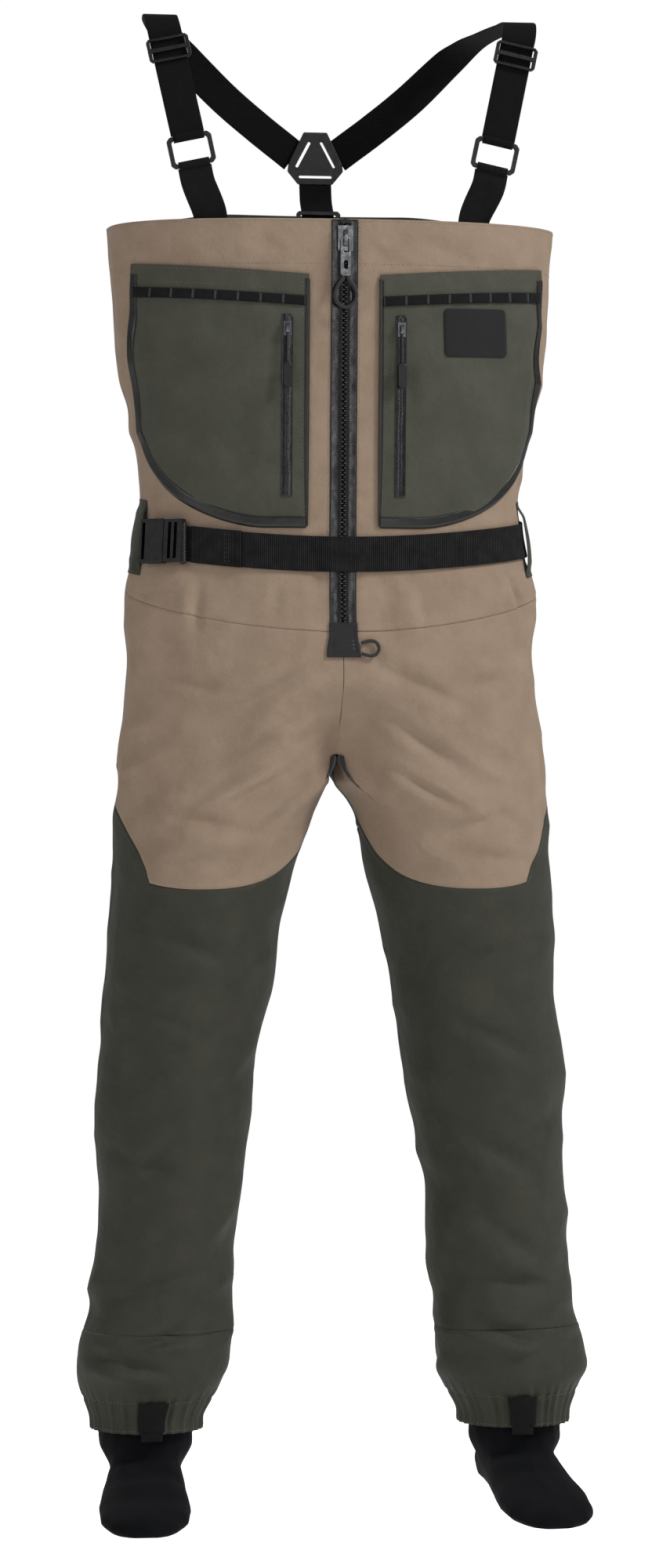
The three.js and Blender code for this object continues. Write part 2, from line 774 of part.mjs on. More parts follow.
// Rows are closer together towards the floor, where the outer edge sweeps in
function pocket() {
  const down = (v) => 0.2 * v + 0.8 * (1 - Math.max(1 - v, 0) ** 1.7);
  return sheet((u, v) => pocketPoint(u, down(v)), 10, 15, pocketLow, (u, v) => pocketHighAt(u, down(v)));
}

// Something flat that lies on the pocket, over a patch of the pocket's own grid
function onPocket(columns, rows, thickness, patch) {
  const at = (u, v) => pocketPoint(...patch(u, v));
  const low = (u, v) => pocketHighAt(...patch(u, v)) + near + 0.35;
  return sheet(at, columns, rows, low, (u, v) => low(u, v) + thickness);
}

const pocketRise = pocketTop - pocketFloor;
const daisyFrom = 25 / pocketRise;
const daisy = onPocket(10, 1, 1.4, (u, v) => [0.02 + 0.955 * u, daisyFrom + (daisyWidth / pocketRise) * v]);
const zipFrom = pocketZipDrop / pocketRise;

function pocketAcross(distance, v) {
  const z = lerp(pocketTop - 5, pocketFloor, v);
  return distance / (pocketOuterAt(z) - pocketInner);
}

const zipUpper = zipFrom + 0.02;
const zipLower = zipUpper + pocketZipLength / pocketRise;
const pocketZip = onPocket(2, 14, 1.2, (u, v) => {
  const down = lerp(zipUpper, zipLower, v);
  return [pocketAcross(pocketZipAt + pocketZipWidth * (u - 0.5), down), down];
});

addPair('pocket', pocket(), pocketOlive);
addPair('pocket_daisy', daisy, blackWeb);
addPair('pocket_zip', pocketZip, rubber);

const pocketSliderAt = pocketInner + pocketZipAt;
const pocketSliderZ = lerp(pocketTop - 5, pocketFloor, zipUpper) - 14;
const pocketZipTop = pocketPeak + near + 0.35 + 1.2;
const pocketDeck = pocketZipTop + near + 2;
const smallSliderLength = 16;
const smallSlider = cut(
  zipSlider(9, smallSliderLength, 1, 0.5, pocketDeck),
  box(20, 20, 2 * (pocketZipTop + 0.6), 0, 0, 0),
);
addPair('pocket_slider', seat(smallSlider, pocketSliderAt, pocketSliderZ, 0), gunmetal);

const pocketCordLength = 32;
const cordStart = smallSliderLength * bridgeShare + near;
const cordRoute = [0, 1, 2, 3, 4].map((k) => vec(0, -cordStart - (k * pocketCordLength) / 4, 0));
const pocketHinge = pocketDeck + hingeRise;
addPair('pocket_cord', hang(cord(cordRoute, 2.4, 5), pocketSliderAt, pocketSliderZ, pocketHinge), blackWeb);

const gripTop = -cordStart - pocketCordLength - near;
const grip = plate(tablet(9.5, 28, 2.5, 0, gripTop - 14), [], 5).translate(0, 0, -2.5);
addPair('pocket_pull', hang(grip, pocketSliderAt, pocketSliderZ, pocketHinge), rubber);

// Hook-and-loop patch for flies, on the left pocket only
const patchWidth = 77;
const patchHeight = 54;
const patchAt = pocketInner + 112;
const patchZ = pocketTop - 67;
const flyPatch = plate(tablet(patchWidth, patchHeight, 4), [], 2.4);
add('fly_patch', seat(flyPatch, patchAt, patchZ, pocketPeak + near + 0.1), blackWeb);

// ---------------------------------------------------------------- wading belt

const beltThick = webbingThickness;
const buckleLift = beltGap + beltThick + 0.8;
const beltZAt = (along) => {
  const turn = (Math.abs(along) / halfRound(waist)) * Math.PI;
  return waist + beltRise * (1 - Math.cos(turn));
};
// The belt steps over the zip
const beltLowAt = (along) => beltGap + (teethLow + teethHeight) * smooth(-Math.abs(along), -34, -14);

function webOnWaist(from, to, columns, height, lowAt, thickness) {
  const at = (u, v) => {
    const along = lerp(from, to, u);
    return trunk(along, beltZAt(along) + height * (0.5 - v));
  };
  const low = (u) => lowAt(lerp(from, to, u));
  return sheet(at, columns, 2, low, (u) => low(u) + thickness);
}

const beltEnd = sideSeam(waist + beltRise);
const beltStart = -buckleAt - 4;
add('belt_front', webOnWaist(beltStart, beltEnd, 26, webbing, beltLowAt, beltThick), blackWeb);

function beltBack() {
  const at = (u, v) => {
    const z = beltZAt(lerp(beltEnd, 2 * halfRound(waist) + beltStart, u)) + webbing * (0.5 - v);
    return trunk(lerp(beltEnd + near, 2 * halfRound(z) + beltStart - near, u), z);
  };
  return sheet(at, 30, 2, beltGap, beltGap + beltThick);
}
add('belt_back', beltBack(), blackWeb);
const tailLowAt = (along) => beltLowAt(along) + beltThick + near;
add('belt_tail', webOnWaist(-166, -116, 5, webbing + 2, tailLowAt, beltThick), blackWeb);

// Cloth tunnels that carry the belt at the sides
const loopFrom = buckleAt + buckleLength + 8;
const loopTo = loopFrom + 26;

function beltLoop() {
  const tall = webbing + 46;
  const at = (u, v) => {
    const along = lerp(loopFrom, loopTo, u);
    return trunk(along, beltZAt(along) + tall * (0.5 - v));
  };
  const low = (u, v) => lerp(beltGap + beltThick + 0.8, near + 0.6, smooth(Math.abs(v - 0.5), 0.3, 0.42));
  return sheet(at, 3, 10, low, (u, v) => low(u, v) + 1.2);
}
addPair('belt_loop', beltLoop(), olive);

// Side-release buckle, in the frame of its seat at the mouth of the socket. The plug points
// round towards +X into the socket; the pair is then mirrored to the wearer's right.
const socketWall = 2;
const prongGap = 0.5;

function buckleSocket() {
  const [length, height, thick] = [buckleLength, buckleHeight, buckleThickness];
  const body = box(length, height, thick, length / 2 + near, 0, thick / 2);
  const hollow = box(length - 8, height - 12, thick - 2 * socketWall, (length - 8) / 2, 0, thick / 2);
  const windows = box(14, height + 2, thick - 2 * socketWall, 14, 0, thick / 2);
  const mouth = box(16, height + 2, thick - 2 * socketWall, 6, 0, thick / 2);
  const webSlot = box(4, webbing + 2, thick + 4, length - 3.5, 0, thick / 2 + 2);
  return cut(body, hollow, windows, mouth, webSlot);
}

function bucklePlug() {
  const [height, thick] = [buckleHeight, buckleThickness];
  const inside = thick - 2 * socketWall - 2 * prongGap;
  const frame = box(24, height - 2, thick - 1, -12 - near, 0, thick / 2);
  const ladder = [-8, -16].map((x) => box(4, webbing + 1, thick + 2, x, 0, thick / 2));
  const plug = cut(frame, ...ladder);
  const prongs = [-1, 1].map((side) => box(21, 5, inside, 9.5, side * (height / 2 - 3.4), thick / 2));
  const guide = box(19, 6, inside, 8.5, 0, thick / 2);
  return joined(plug, ...prongs, guide);
}

const buckleZ = beltZAt(buckleAt);
const onBelt = (geometry) => mirrored(seat(geometry, buckleAt, buckleZ, buckleLift));
add('buckle_socket', onBelt(buckleSocket()), blackPlastic);
add('buckle_plug', onBelt(bucklePlug()), blackPlastic);

// ---------------------------------------------------------------- suspenders

const strapFront = frontAt(0);
const ringAt = vec(strapAtBib + 20, strapFront + 10, bibTop + 75);
const shoulder = vec(202, strapFront + 22, -8);
const towards = (from, to, share) => from.clone().lerp(to, share);

const leanFrom = (from, to) => Math.atan2(to.x - from.x, to.z - from.z);
const strapLean = leanFrom(ringAt, shoulder);
const offBar = ringHeight / 2 + 0.8;
const upStrap = vec(Math.sin(strapLean), 0, Math.cos(strapLean));
const belowRing = ringAt.clone().addScaledVector(upStrap, -offBar);

// The webbing is sewn inside the bib and rises to the ring
const inside = wall + near + elasticThickness / 2 + 1.2;
const webFrames = [-42, -14, 4].map((height) => frameAt(strapAtBib, bibTop + height, -inside));
const webPoints = [...webFrames.map(({ place }) => place), towards(belowRing, ringAt, -0.9), belowRing];
const webFaces = [...webFrames.map(({ out }) => out), vec(0, -1, 0), vec(0, -1, 0)];
addPair('strap_web', band(webPoints, webFaces, elastic, elasticThickness, 8), blackWeb);

function ring() {
  const opening = tablet(ringWidth - 2 * ringBar, ringHeight - 2 * ringBar, 2);
  return plate(tablet(ringWidth, ringHeight, 4), [opening], ringThickness)
    .translate(0, 0, -ringThickness / 2).rotateX(Math.PI / 2);
}
addPair('ring', ring().rotateY(strapLean).translate(...ringAt), blackPlastic);

const strapStart = towards(ringAt, shoulder, offBar / ringAt.distanceTo(shoulder));
const yokeAt = vec(0, 142, -117);
const strapPoints = [
  strapStart, ...[0.3, 0.5, 0.7, 0.9, 1].map((share) => towards(ringAt, shoulder, share)),
  vec(204, shoulder.y + 12, 6), vec(202, -40, 12),
  vec(192, 30, 15), vec(177, 95, 13), vec(158, 127, -2), vec(110, 137, -48), vec(66, 141, -84),
  yokeAt.clone().add(vec(32, 0, 7.5)),
];
const strapFaces = [
  ...[0, 0, 0, 0, 0, 0.2].map((lift) => vec(0, -1, lift)), vec(0, -0.6, 0.8), vec(0, 0, 1), vec(0, 0, 1),
  vec(0, 0.3, 0.95), vec(0, 0.8, 0.6), vec(0, 1, 0.1), vec(0, 1, 0), vec(0, 1, 0),
];
addPair('strap', band(strapPoints, strapFaces, elastic, elasticThickness, 32), blackWeb);

// Tri-glide in front of the strap, free to slide down it
function adjuster() {
  const [width, height] = [adjusterWidth, adjusterHeight];
  const slots = [-1, 1].map((side) => tablet(width - 8, height / 2 - 5, 1, 0, side * (height / 4 - 0.4)));
  return plate(tablet(width, height, 3), slots, 4).rotateX(Math.PI / 2);
}
const adjusterPlace = towards(ringAt, shoulder, 0.82);
const strapPitch = Math.atan2(shoulder.y - ringAt.y, shoulder.z - ringAt.z);
const glide = adjuster().rotateX(-strapPitch).rotateY(strapLean);
const glideOut = elasticThickness / 2 + 0.9;
const glidePlace = adjusterPlace.clone().add(vec(0, -glideOut, 0));
addPair('adjuster', glide.translate(...glidePlace), blackPlastic);

// Yoke plate where the straps cross behind, with three slots
function yoke() {
  const [w, h] = [yokeWidth / 2, yokeHeight / 2];
  const outline = [
    [-w * 0.62, -h], [w * 0.62, -h], [w, -h * 0.5], [w * 0.96, -h * 0.22],
    [w * 0.42, h], [-w * 0.42, h], [-w * 0.96, -h * 0.22], [-w, -h * 0.5],
  ];
  const slot = (length, turn, x, y) => tablet(length, 3.4, 1).map(([a, b]) => [
    x + a * Math.cos(turn) - b * Math.sin(turn), y + a * Math.sin(turn) + b * Math.cos(turn),
  ]);
  const lean = radians(62);
  const slots = [
    slot(34, lean, -w * 0.44, h * 0.14), slot(34, Math.PI - lean, w * 0.44, h * 0.14),
    slot(elastic + 1, 0, 0, -h * 0.72),
  ];
  return plate(outline, slots, yokeThickness).rotateX(Math.PI / 2);
}
add('yoke', yoke().translate(yokeAt.x, yokeAt.y + yokeThickness / 2, yokeAt.z), blackPlastic);

const backEdge = trunk(halfRound(bibTop), bibTop);
const innerBack = backEdge.y - inside;
const backPoints = [
  vec(0, yokeAt.y, yokeAt.z - yokeHeight / 2 - near), vec(0, yokeAt.y - 6, -168),
  vec(0, innerBack + 0.6, bibTop + backRaise), vec(0, innerBack, bibTop + 10),
  vec(0, innerBack - 1, bibTop - 24),
];
const backFaces = backPoints.map(() => vec(0, 1, 0));
add('back_strap', band(backPoints, backFaces, elastic, elasticThickness, 8), blackWeb);

const backBuckle = plate(tablet(52, 30, 3), [tablet(42, 7, 1, 0, 7), tablet(42, 7, 1, 0, -7)], 4);
const buckleBack = innerBack - elasticThickness / 2 - 0.8;
add('back_buckle', backBuckle.rotateX(Math.PI / 2).translate(0, buckleBack, bibTop + 24), blackPlastic);

export default waders;
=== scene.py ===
# Chest waders, as they hang from the shoulders: laminate shell, zipped bib, pockets, wading belt,
# elastic suspenders, gravel guards and neoprene feet. The frame is in metres; the garment's own
# measures below are in millimetres and are turned to metres where a mesh is made.
import math

import bmesh
import bpy
import numpy as np
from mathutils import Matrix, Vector


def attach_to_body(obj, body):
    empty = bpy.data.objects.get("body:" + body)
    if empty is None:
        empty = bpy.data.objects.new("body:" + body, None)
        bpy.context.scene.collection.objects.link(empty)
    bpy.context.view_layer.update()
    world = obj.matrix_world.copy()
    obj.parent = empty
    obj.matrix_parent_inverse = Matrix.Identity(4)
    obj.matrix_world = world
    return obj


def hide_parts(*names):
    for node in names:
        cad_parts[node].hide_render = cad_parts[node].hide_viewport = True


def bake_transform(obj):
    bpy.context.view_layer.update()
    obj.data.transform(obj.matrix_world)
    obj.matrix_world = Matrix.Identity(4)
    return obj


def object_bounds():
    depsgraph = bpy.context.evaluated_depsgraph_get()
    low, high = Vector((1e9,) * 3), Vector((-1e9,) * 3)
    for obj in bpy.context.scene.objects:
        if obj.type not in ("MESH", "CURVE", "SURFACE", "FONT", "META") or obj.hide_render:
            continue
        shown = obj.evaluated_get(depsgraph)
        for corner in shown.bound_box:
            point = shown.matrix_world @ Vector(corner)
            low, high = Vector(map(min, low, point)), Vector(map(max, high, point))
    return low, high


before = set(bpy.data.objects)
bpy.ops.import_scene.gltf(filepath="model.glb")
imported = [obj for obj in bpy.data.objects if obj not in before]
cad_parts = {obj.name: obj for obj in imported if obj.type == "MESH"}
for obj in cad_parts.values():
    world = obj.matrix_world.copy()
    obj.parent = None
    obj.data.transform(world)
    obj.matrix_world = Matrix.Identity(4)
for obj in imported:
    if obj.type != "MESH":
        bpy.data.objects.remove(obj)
cad_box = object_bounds()

MM = 0.001
SIDES = {"left": 1, "right": -1}


# ---------------------------------------------------------------- camera

def place_camera():
    turn, reach = math.radians(-7.5), 5.0
    aside, eye_level, half_height = 0.005, -0.855, 0.9
    data = bpy.data.cameras.new("view")
    camera = bpy.data.objects.new("view", data)
    bpy.context.scene.collection.objects.link(camera)
    camera.location = (math.sin(turn) * reach + aside, -math.cos(turn) * reach, eye_level)
    camera.rotation_euler = (math.radians(90), 0, turn)
    data.sensor_fit = "VERTICAL"
    data.angle = 2 * math.atan(half_height / reach)
    bpy.context.scene.camera = camera


place_camera()


# ---------------------------------------------------------------- mesh helpers

def deselect():
    for o in bpy.context.selected_objects:
        o.select_set(False)


def activate(obj):
    deselect()
    obj.select_set(True)
    bpy.context.view_layer.objects.active = obj


def mesh_object(name, points, faces, uvs=None, zones=None):
    """points in mm; uvs one pair a point; zones one material number a face"""
    data = bpy.data.meshes.new(name)
    data.from_pydata((np.asarray(points) * MM).tolist(), [], [tuple(f) for f in faces])
    if uvs is not None:
        layer = data.uv_layers.new(name="UVMap")
        corners = np.zeros(len(data.loops), int)
        data.loops.foreach_get("vertex_index", corners)
        layer.data.foreach_set("uv", np.asarray(uvs)[corners].astype(np.float32).ravel())
    if zones is not None:
        data.polygons.foreach_set("material_index", np.asarray(zones, np.int32))
    data.polygons.foreach_set("use_smooth", np.ones(len(data.polygons), bool))
    obj = bpy.data.objects.new(name, data)
    bpy.context.scene.collection.objects.link(obj)
    return obj


def attach(obj, body, materials, nodes=()):
    for material in materials:
        obj.data.materials.append(material)
    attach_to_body(obj, body)
    if nodes:
        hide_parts(*nodes)
    return obj


def face_outward(obj):
    turned = bmesh.new()
    turned.from_mesh(obj.data)
    bmesh.ops.recalc_face_normals(turned, faces=turned.faces)
    turned.to_mesh(obj.data)
    turned.free()


def smooth_by_angle(obj, degrees):
    activate(obj)
    bpy.ops.object.shade_smooth_by_angle(angle=math.radians(degrees))


def unit(vectors):
    length = np.linalg.norm(vectors, axis=-1, keepdims=True)
    return vectors / np.maximum(length, 1e-12)


def grid_normals(points, wraps=False):
    """Normals of a grid of points, (rows, columns, 3); down times across"""
    if wraps:
        across = np.roll(points, -1, axis=1) - np.roll(points, 1, axis=1)
    else:
        across = np.gradient(points, axis=1)
    down = np.gradient(points, axis=0)
    return unit(np.cross(down, across))


def outward(points, wraps=False, about=None):
    """Grid normals, turned to point away from an upright line at x = about(z)"""
    normals = grid_normals(points, wraps)
    middle = np.zeros_like(points)
    middle[..., 2] = points[..., 2]
    if about is not None:
        middle[..., 0] = about(points[..., 2])
    away = (normals * (points - middle)).sum(-1).mean()
    return normals if away > 0 else -normals


def lengths_along(points, axis):
    steps = np.linalg.norm(np.diff(points, axis=axis), axis=-1)
    zero = np.zeros_like(np.take(steps, [0], axis=axis))
    return np.concatenate([zero, np.cumsum(steps, axis=axis)], axis=axis)


def slab(name, points, normals, low, high, wraps=False, has=None):
    """A closed skin between two heights over a grid. Its inner face is material zone 1.
    The UV map holds the distance across and along, in metres."""
    rows, columns = points.shape[:2]
    outer = points + normals * np.broadcast_to(high, points.shape[:2])[..., None]
    inner = points + normals * np.broadcast_to(low, points.shape[:2])[..., None]
    wide = columns if wraps else columns - 1
    j, i = np.meshgrid(np.arange(rows - 1), np.arange(wide), indexing="ij")
    if has is not None:
        keep = has[j, i % has.shape[1]]
        j, i = j[keep], i[keep]
    j, i = j.ravel(), i.ravel()
    right = (i + 1) % columns
    quads = np.stack([j * columns + i, (j + 1) * columns + i,
                      (j + 1) * columns + right, j * columns + right], axis=1)
    natural = grid_normals(points, wraps)
    if (natural * normals).sum(-1).mean() < 0:
        quads = quads[:, ::-1]
    count = rows * columns
    edges = np.stack([quads, np.roll(quads, -1, axis=1)], axis=-1).reshape(-1, 2)
    keys = np.sort(edges, axis=1)
    keys = keys[:, 0] * count + keys[:, 1]
    _, first, times = np.unique(keys, return_index=True, return_counts=True)
    rim = edges[first[times == 1]]
    walls = np.stack([rim[:, 1], rim[:, 0], rim[:, 0] + count, rim[:, 1] + count], axis=1)
    faces = np.concatenate([quads, quads[:, ::-1] + count, walls])
    zones = np.concatenate([np.zeros(len(quads)), np.ones(len(quads)), np.zeros(len(walls))])
    across, along = lengths_along(points, 1) * MM, lengths_along(points, 0) * MM
    flat = np.stack([across, along], axis=-1).reshape(-1, 2)
    every = np.concatenate([outer.reshape(-1, 3), inner.reshape(-1, 3)])
    used = np.unique(faces)
    number = np.full(2 * count, -1)
    number[used] = np.arange(len(used))
    return mesh_object(name, every[used], number[faces], np.concatenate([flat, flat])[used], zones)


def sided(side, *grids):
    """Grids laid out on the wearer's right get their columns turned to run towards +X"""
    return [g[:, ::-1] for g in grids] if side == "right" else list(grids)


def mirrored(points):
    """A grid moved to the wearer's right, its columns still running towards +X"""
    return points[:, ::-1] * np.array([-1.0, 1.0, 1.0])


def resampled(points, count):
    points = np.asarray(points, float)
    travelled = lengths_along(points, 0)
    at = np.linspace(0, travelled[-1], count)
    return np.stack([np.interp(at, travelled, points[:, n]) for n in range(3)], axis=1)


def spline(points, count):
    """Even points on a smooth curve through the given ones"""
    given = np.asarray(points, float)
    ends = [2 * given[0] - given[1], *given, 2 * given[-1] - given[-2]]
    fine = []
    for a, b, c, d in zip(ends, ends[1:], ends[2:], ends[3:]):
        for t in np.linspace(0, 1, 24, endpoint=False):
            fine.append(0.5 * (2 * b + (c - a) * t + (2 * a - 5 * b + 4 * c - d) * t * t
                               + (3 * b - a - 3 * c + d) * t ** 3))
    fine.append(given[-1])
    return resampled(fine, count)


def tube(name, route, diameter, sides=12):
    """A round cord along a route in mm, closed at its ends; UV runs round and along it"""
    route = np.asarray(route, float)
    tangents = unit(np.gradient(route, axis=0))
    side = np.cross(tangents[0], (0.31, 0.52, 0.79))
    frames = []
    for tangent in tangents:
        side = side - tangent * side.dot(tangent)
        side = side / np.linalg.norm(side)
        frames.append((side, np.cross(tangent, side)))
    turns = np.linspace(0, 2 * math.pi, sides, endpoint=False)
    travelled = lengths_along(route, 0)
    points, uvs = [], []
    for k, (a, b) in enumerate(frames):
        for turn in turns:
            points.append(route[k] + (a * math.cos(turn) + b * math.sin(turn)) * diameter / 2)
            uvs.append((turn / (2 * math.pi), travelled[k] * MM))
    faces = []
    for k in range(len(route) - 1):
        for n in range(sides):
            m = (n + 1) % sides
            faces.append((k * sides + n, k * sides + m, (k + 1) * sides + m, (k + 1) * sides + n))
    for ring, place, turn in ((0, route[0] - tangents[0] * diameter * 0.12, -1),
                              (len(route) - 1, route[-1] + tangents[-1] * diameter * 0.12, 1)):
        points.append(place)
        uvs.append((0.5, travelled[ring] * MM))
        tip = len(points) - 1
        for n in range(sides):
            pair = (ring * sides + n, ring * sides + (n + 1) % sides)
            faces.append((tip, *pair) if turn > 0 else (tip, *pair[::-1]))
    return mesh_object(name, points, faces, uvs)


# ---------------------------------------------------------------- the garment's form

BIB_TOP, WAIST, CROTCH, ANKLE = -222.0, -597.0, -824.0, -1600.0
HEM, GUARD_TOP = ANKLE + 12, ANKLE + 125
HIP_SEAM, SEAT_SEAM, THIGH_EDGE = WAIST - 87, CROTCH - 81, CROTCH - 149
BACK_RAISE = 34.0
WALL, SEAM, NEAR = 2.0, 0.3, 0.3
SQUARENESS = 2.4
SEAT = 113.0


def front_at(share):
    return -(247 + (208 - 247) * share) / 2


TRUNK = np.array([
    # height, half width, front, back
    [BIB_TOP + BACK_RAISE, 258, front_at(-0.1), 123.5],
    [BIB_TOP, 257, front_at(0), 121.5],
    [BIB_TOP - 0.45 * 375, 244, front_at(0.45), 112],
    [BIB_TOP - 0.72 * 375, 222, front_at(0.72), 106],
    [BIB_TOP - 0.9 * 375, 218, front_at(0.9), 104],
    [WAIST - 0.18 * 227, 233, front_at(0.95), 108],
    [WAIST - 0.6 * 227, 236, -SEAT, SEAT + 4],
    [CROTCH, 243.5, -SEAT + 4, SEAT],
])
LEG = np.array([
    # height, sideways place, half width, half depth
    [CROTCH, 124, 119, 113],
    [CROTCH - 36, 130, 115, 111],
    [CROTCH - 106, 144, 107, 106],
    [CROTCH - 176, 155, 101, 101],
    [CROTCH - 276, 168, 93.5, 94],
    [CROTCH - 391, 180, 88, 88],
    [CROTCH - 480, 187, 83, 83],
    [CROTCH - 570, 194, 80, 80],
    [GUARD_TOP, 201, 81, 80],
    [HEM + 78, 206, 85, 82],
    [HEM + 46, 209, 79, 77],
    [HEM + 16, 212, 65.5, 67],
    [HEM, 212, 64, 66],
])


def hermite(a, b, leaving, arriving, t):
    """A cubic from a to b with given slopes at its ends"""
    return (a * (2 * t ** 3 - 3 * t ** 2 + 1) + b * (3 * t ** 2 - 2 * t ** 3)
            + leaving * (t ** 3 - 2 * t ** 2 + t) + arriving * (t ** 3 - t ** 2))


def through(stations, z):
    """The stations' values at heights z, on a smooth curve through them"""
    z = np.asarray(z, float)
    places = stations[:, 0]
    last = len(stations) - 1
    k = np.clip(np.searchsorted(-places, -z, side="left") - 1, 0, last - 1)
    length = places[k + 1] - places[k]
    t = np.clip((z - places[k]) / length, 0, 1)

    def slope(m):
        before, after = np.maximum(m - 1, 0), np.minimum(m + 1, last)
        rise = (stations[after] - stations[before])[..., 1:]
        return rise / (places[after] - places[before])[..., None]

    t = t[..., None]
    leaving, arriving = slope(k) * length[..., None], slope(k + 1) * length[..., None]
    return hermite(stations[k][..., 1:], stations[k + 1][..., 1:], leaving, arriving, t)


def ease(value, start, end):
    t = np.clip((value - start) / (end - start), 0, 1)
    return t * t * (3 - 2 * t)


def power(value, exponent):
    return np.sign(value) * np.abs(value) ** exponent


def trunk_by_angle(angle, z):
    half, front, back = np.moveaxis(through(TRUNK, z), -1, 0)
    x = half * power(np.sin(angle), 2 / SQUARENESS)
    reach = power(np.cos(angle), 2 / SQUARENESS)
    cleft = 1 - 0.42 * ease(-z, -CROTCH - 90, -CROTCH) * np.exp(-((x / 42) ** 2))
    return np.stack([x, (front + back) / 2 - ((back - front) / 2) * reach * cleft, z], axis=-1)


LEVELS = np.linspace(BIB_TOP + BACK_RAISE + 2, CROTCH - 2, 321)
ROUND = np.linspace(0, math.pi, 241)
LOOPS = trunk_by_angle(ROUND[None, :], np.repeat(LEVELS[:, None], len(ROUND), axis=1))
TRAVEL = lengths_along(LOOPS, 1)
HALF_ROUND = TRAVEL[:, -1]
SIDE_SEAM = TRAVEL[:, len(ROUND) // 2]
SHARES = np.linspace(0, 1, 361)
ANGLES = np.stack([np.interp(SHARES * t[-1], t, ROUND) for t in TRAVEL])


def by_height(table, z):
    return np.interp(-np.asarray(z, float), -LEVELS, table)


def half_round(z):
    return by_height(HALF_ROUND, z)


def side_seam(z):
    return by_height(SIDE_SEAM, z)


def trunk(along, z):
    """A point on the trunk by its distance round from the front's middle, positive to +X"""
    along, z = np.broadcast_arrays(np.asarray(along, float), np.asarray(z, float))
    total = half_round(z)
    wrapped = (along + total) % (2 * total) - total
    level = np.clip((LEVELS[0] - z) / (LEVELS[0] - LEVELS[-1]), 0, 1) * (len(LEVELS) - 1)
    place = np.abs(wrapped) / total * (len(SHARES) - 1)
    j = np.minimum(level.astype(int), len(LEVELS) - 2)
    i = np.minimum(place.astype(int), len(SHARES) - 2)
    dj, di = level - j, place - i
    angle = ((ANGLES[j, i] * (1 - di) + ANGLES[j, i + 1] * di) * (1 - dj)
             + (ANGLES[j + 1, i] * (1 - di) + ANGLES[j + 1, i + 1] * di) * dj)
    point = trunk_by_angle(angle, z)
    point[..., 0] *= np.where(wrapped < 0, -1, 1)
    return point


CORNER = math.radians(50)
SPLIT = 70.0


def leg(angle, z):
    """A point on the left leg; the angle runs from its front to its outer side"""
    angle, z = np.broadcast_arrays(np.asarray(angle, float), np.asarray(z, float))
    centre, half, depth = np.moveaxis(through(LEG, z), -1, 0)
    round_leg = np.stack([centre + half * np.sin(angle), -depth * np.cos(angle)], axis=-1)
    share = ease(-z, -CROTCH, -CROTCH + SPLIT)[..., None]
    full = float(half_round(CROTCH))
    turn = (angle + CORNER) / (math.pi + 2 * CORNER)
    flat = trunk(np.clip(turn, 0, 1) * full, np.full(turn.shape, CROTCH))[..., :2]
    start, end = trunk(0, CROTCH)[1], trunk(full, CROTCH)[1]
    whole = (math.pi / 2 - CORNER) / (math.pi + 2 * CORNER)
    past = np.clip(np.where(turn < 0, -turn, turn - 1) / whole, 0, 1)
    inner = np.where(turn < 0, start, end)
    inner = inner + ((start + end) / 2 - inner) * past
    outside = (turn < 0) | (turn > 1)
    flat[..., 0] = np.maximum(np.where(outside, 0, flat[..., 0]), SEAM / 2)
    flat[..., 1] = np.where(outside, inner, flat[..., 1])
    return np.concatenate([flat + (round_leg - flat) * share, z[..., None]], axis=-1)


def leg_centre(side):
    return lambda z: SIDES[side] * through(LEG, z)[..., 0]


def thigh_edge(angle):
    inner, low, corner, outer = (math.radians(a) for a in (-90, 5, 39, 90))
    outer_part = 7 + 94 * (np.clip(angle - corner, 0, None) / (outer - corner)) ** 0.7
    middle = 7 * (np.clip(angle - low, 0, None) / (corner - low)) ** 2
    inner_part = 83 * (np.clip(low - angle, 0, None) / (low - inner)) ** 2.6
    return THIGH_EDGE + np.where(angle >= corner, outer_part,
                                 np.where(angle >= low, middle, inner_part))


def hip_seam(share):
    return HIP_SEAM + 52 * share ** 2


# ---------------------------------------------------------------- folds in the cloth

GRID = np.random.default_rng(7).uniform(-1, 1, (32, 32, 32))


def noise(points, size):
    """Smooth noise from -1 to 1 with lumps of about `size` mm"""
    place = points / size + 61.7
    cell = np.floor(place).astype(int)
    t = place - cell
    t = t * t * (3 - 2 * t)
    total = 0
    for corner in range(8):
        step = np.array([corner >> 2 & 1, corner >> 1 & 1, corner & 1])
        weight = np.prod(np.where(step, t, 1 - t), axis=-1)
        x, y, z = np.moveaxis((cell + step) % 32, -1, 0)
        total = total + weight * GRID[x, y, z]
    return total


def ridges(points, size):
    """Soft folds with narrow backs, from about -0.5 to 0.5"""
    return 0.55 - np.sqrt(noise(points, size) ** 2 + 0.004) * 1.5


def crease(across, along, reach, width, depth):
    """A fold that fades along its length: a dip with a soft ridge beside it"""
    fade = np.clip(1 - np.abs(along) / reach, 0, 1) ** 0.8
    dip = np.exp(-(across / width) ** 2)
    ridge = np.exp(-((across - 1.9 * width) / (1.5 * width)) ** 2)
    return depth * fade * (0.6 * ridge - dip)


def creases(points, lines):
    """lines: x and z of both ends, width and depth, on the front (-Y) or the back"""
    total = np.zeros(points.shape[:-1])
    for x1, z1, x2, z2, facing, width, depth in lines:
        length = math.hypot(x2 - x1, z2 - z1)
        ux, uz = (x2 - x1) / length, (z2 - z1) / length
        dx = points[..., 0] - (x1 + x2) / 2
        dz = points[..., 2] - (z1 + z2) / 2
        on = ease(points[..., 1] * facing, 0, 40)
        total = total + on * crease(dx * uz - dz * ux, dx * ux + dz * uz,
                                    length / 2, width, depth)
    return total


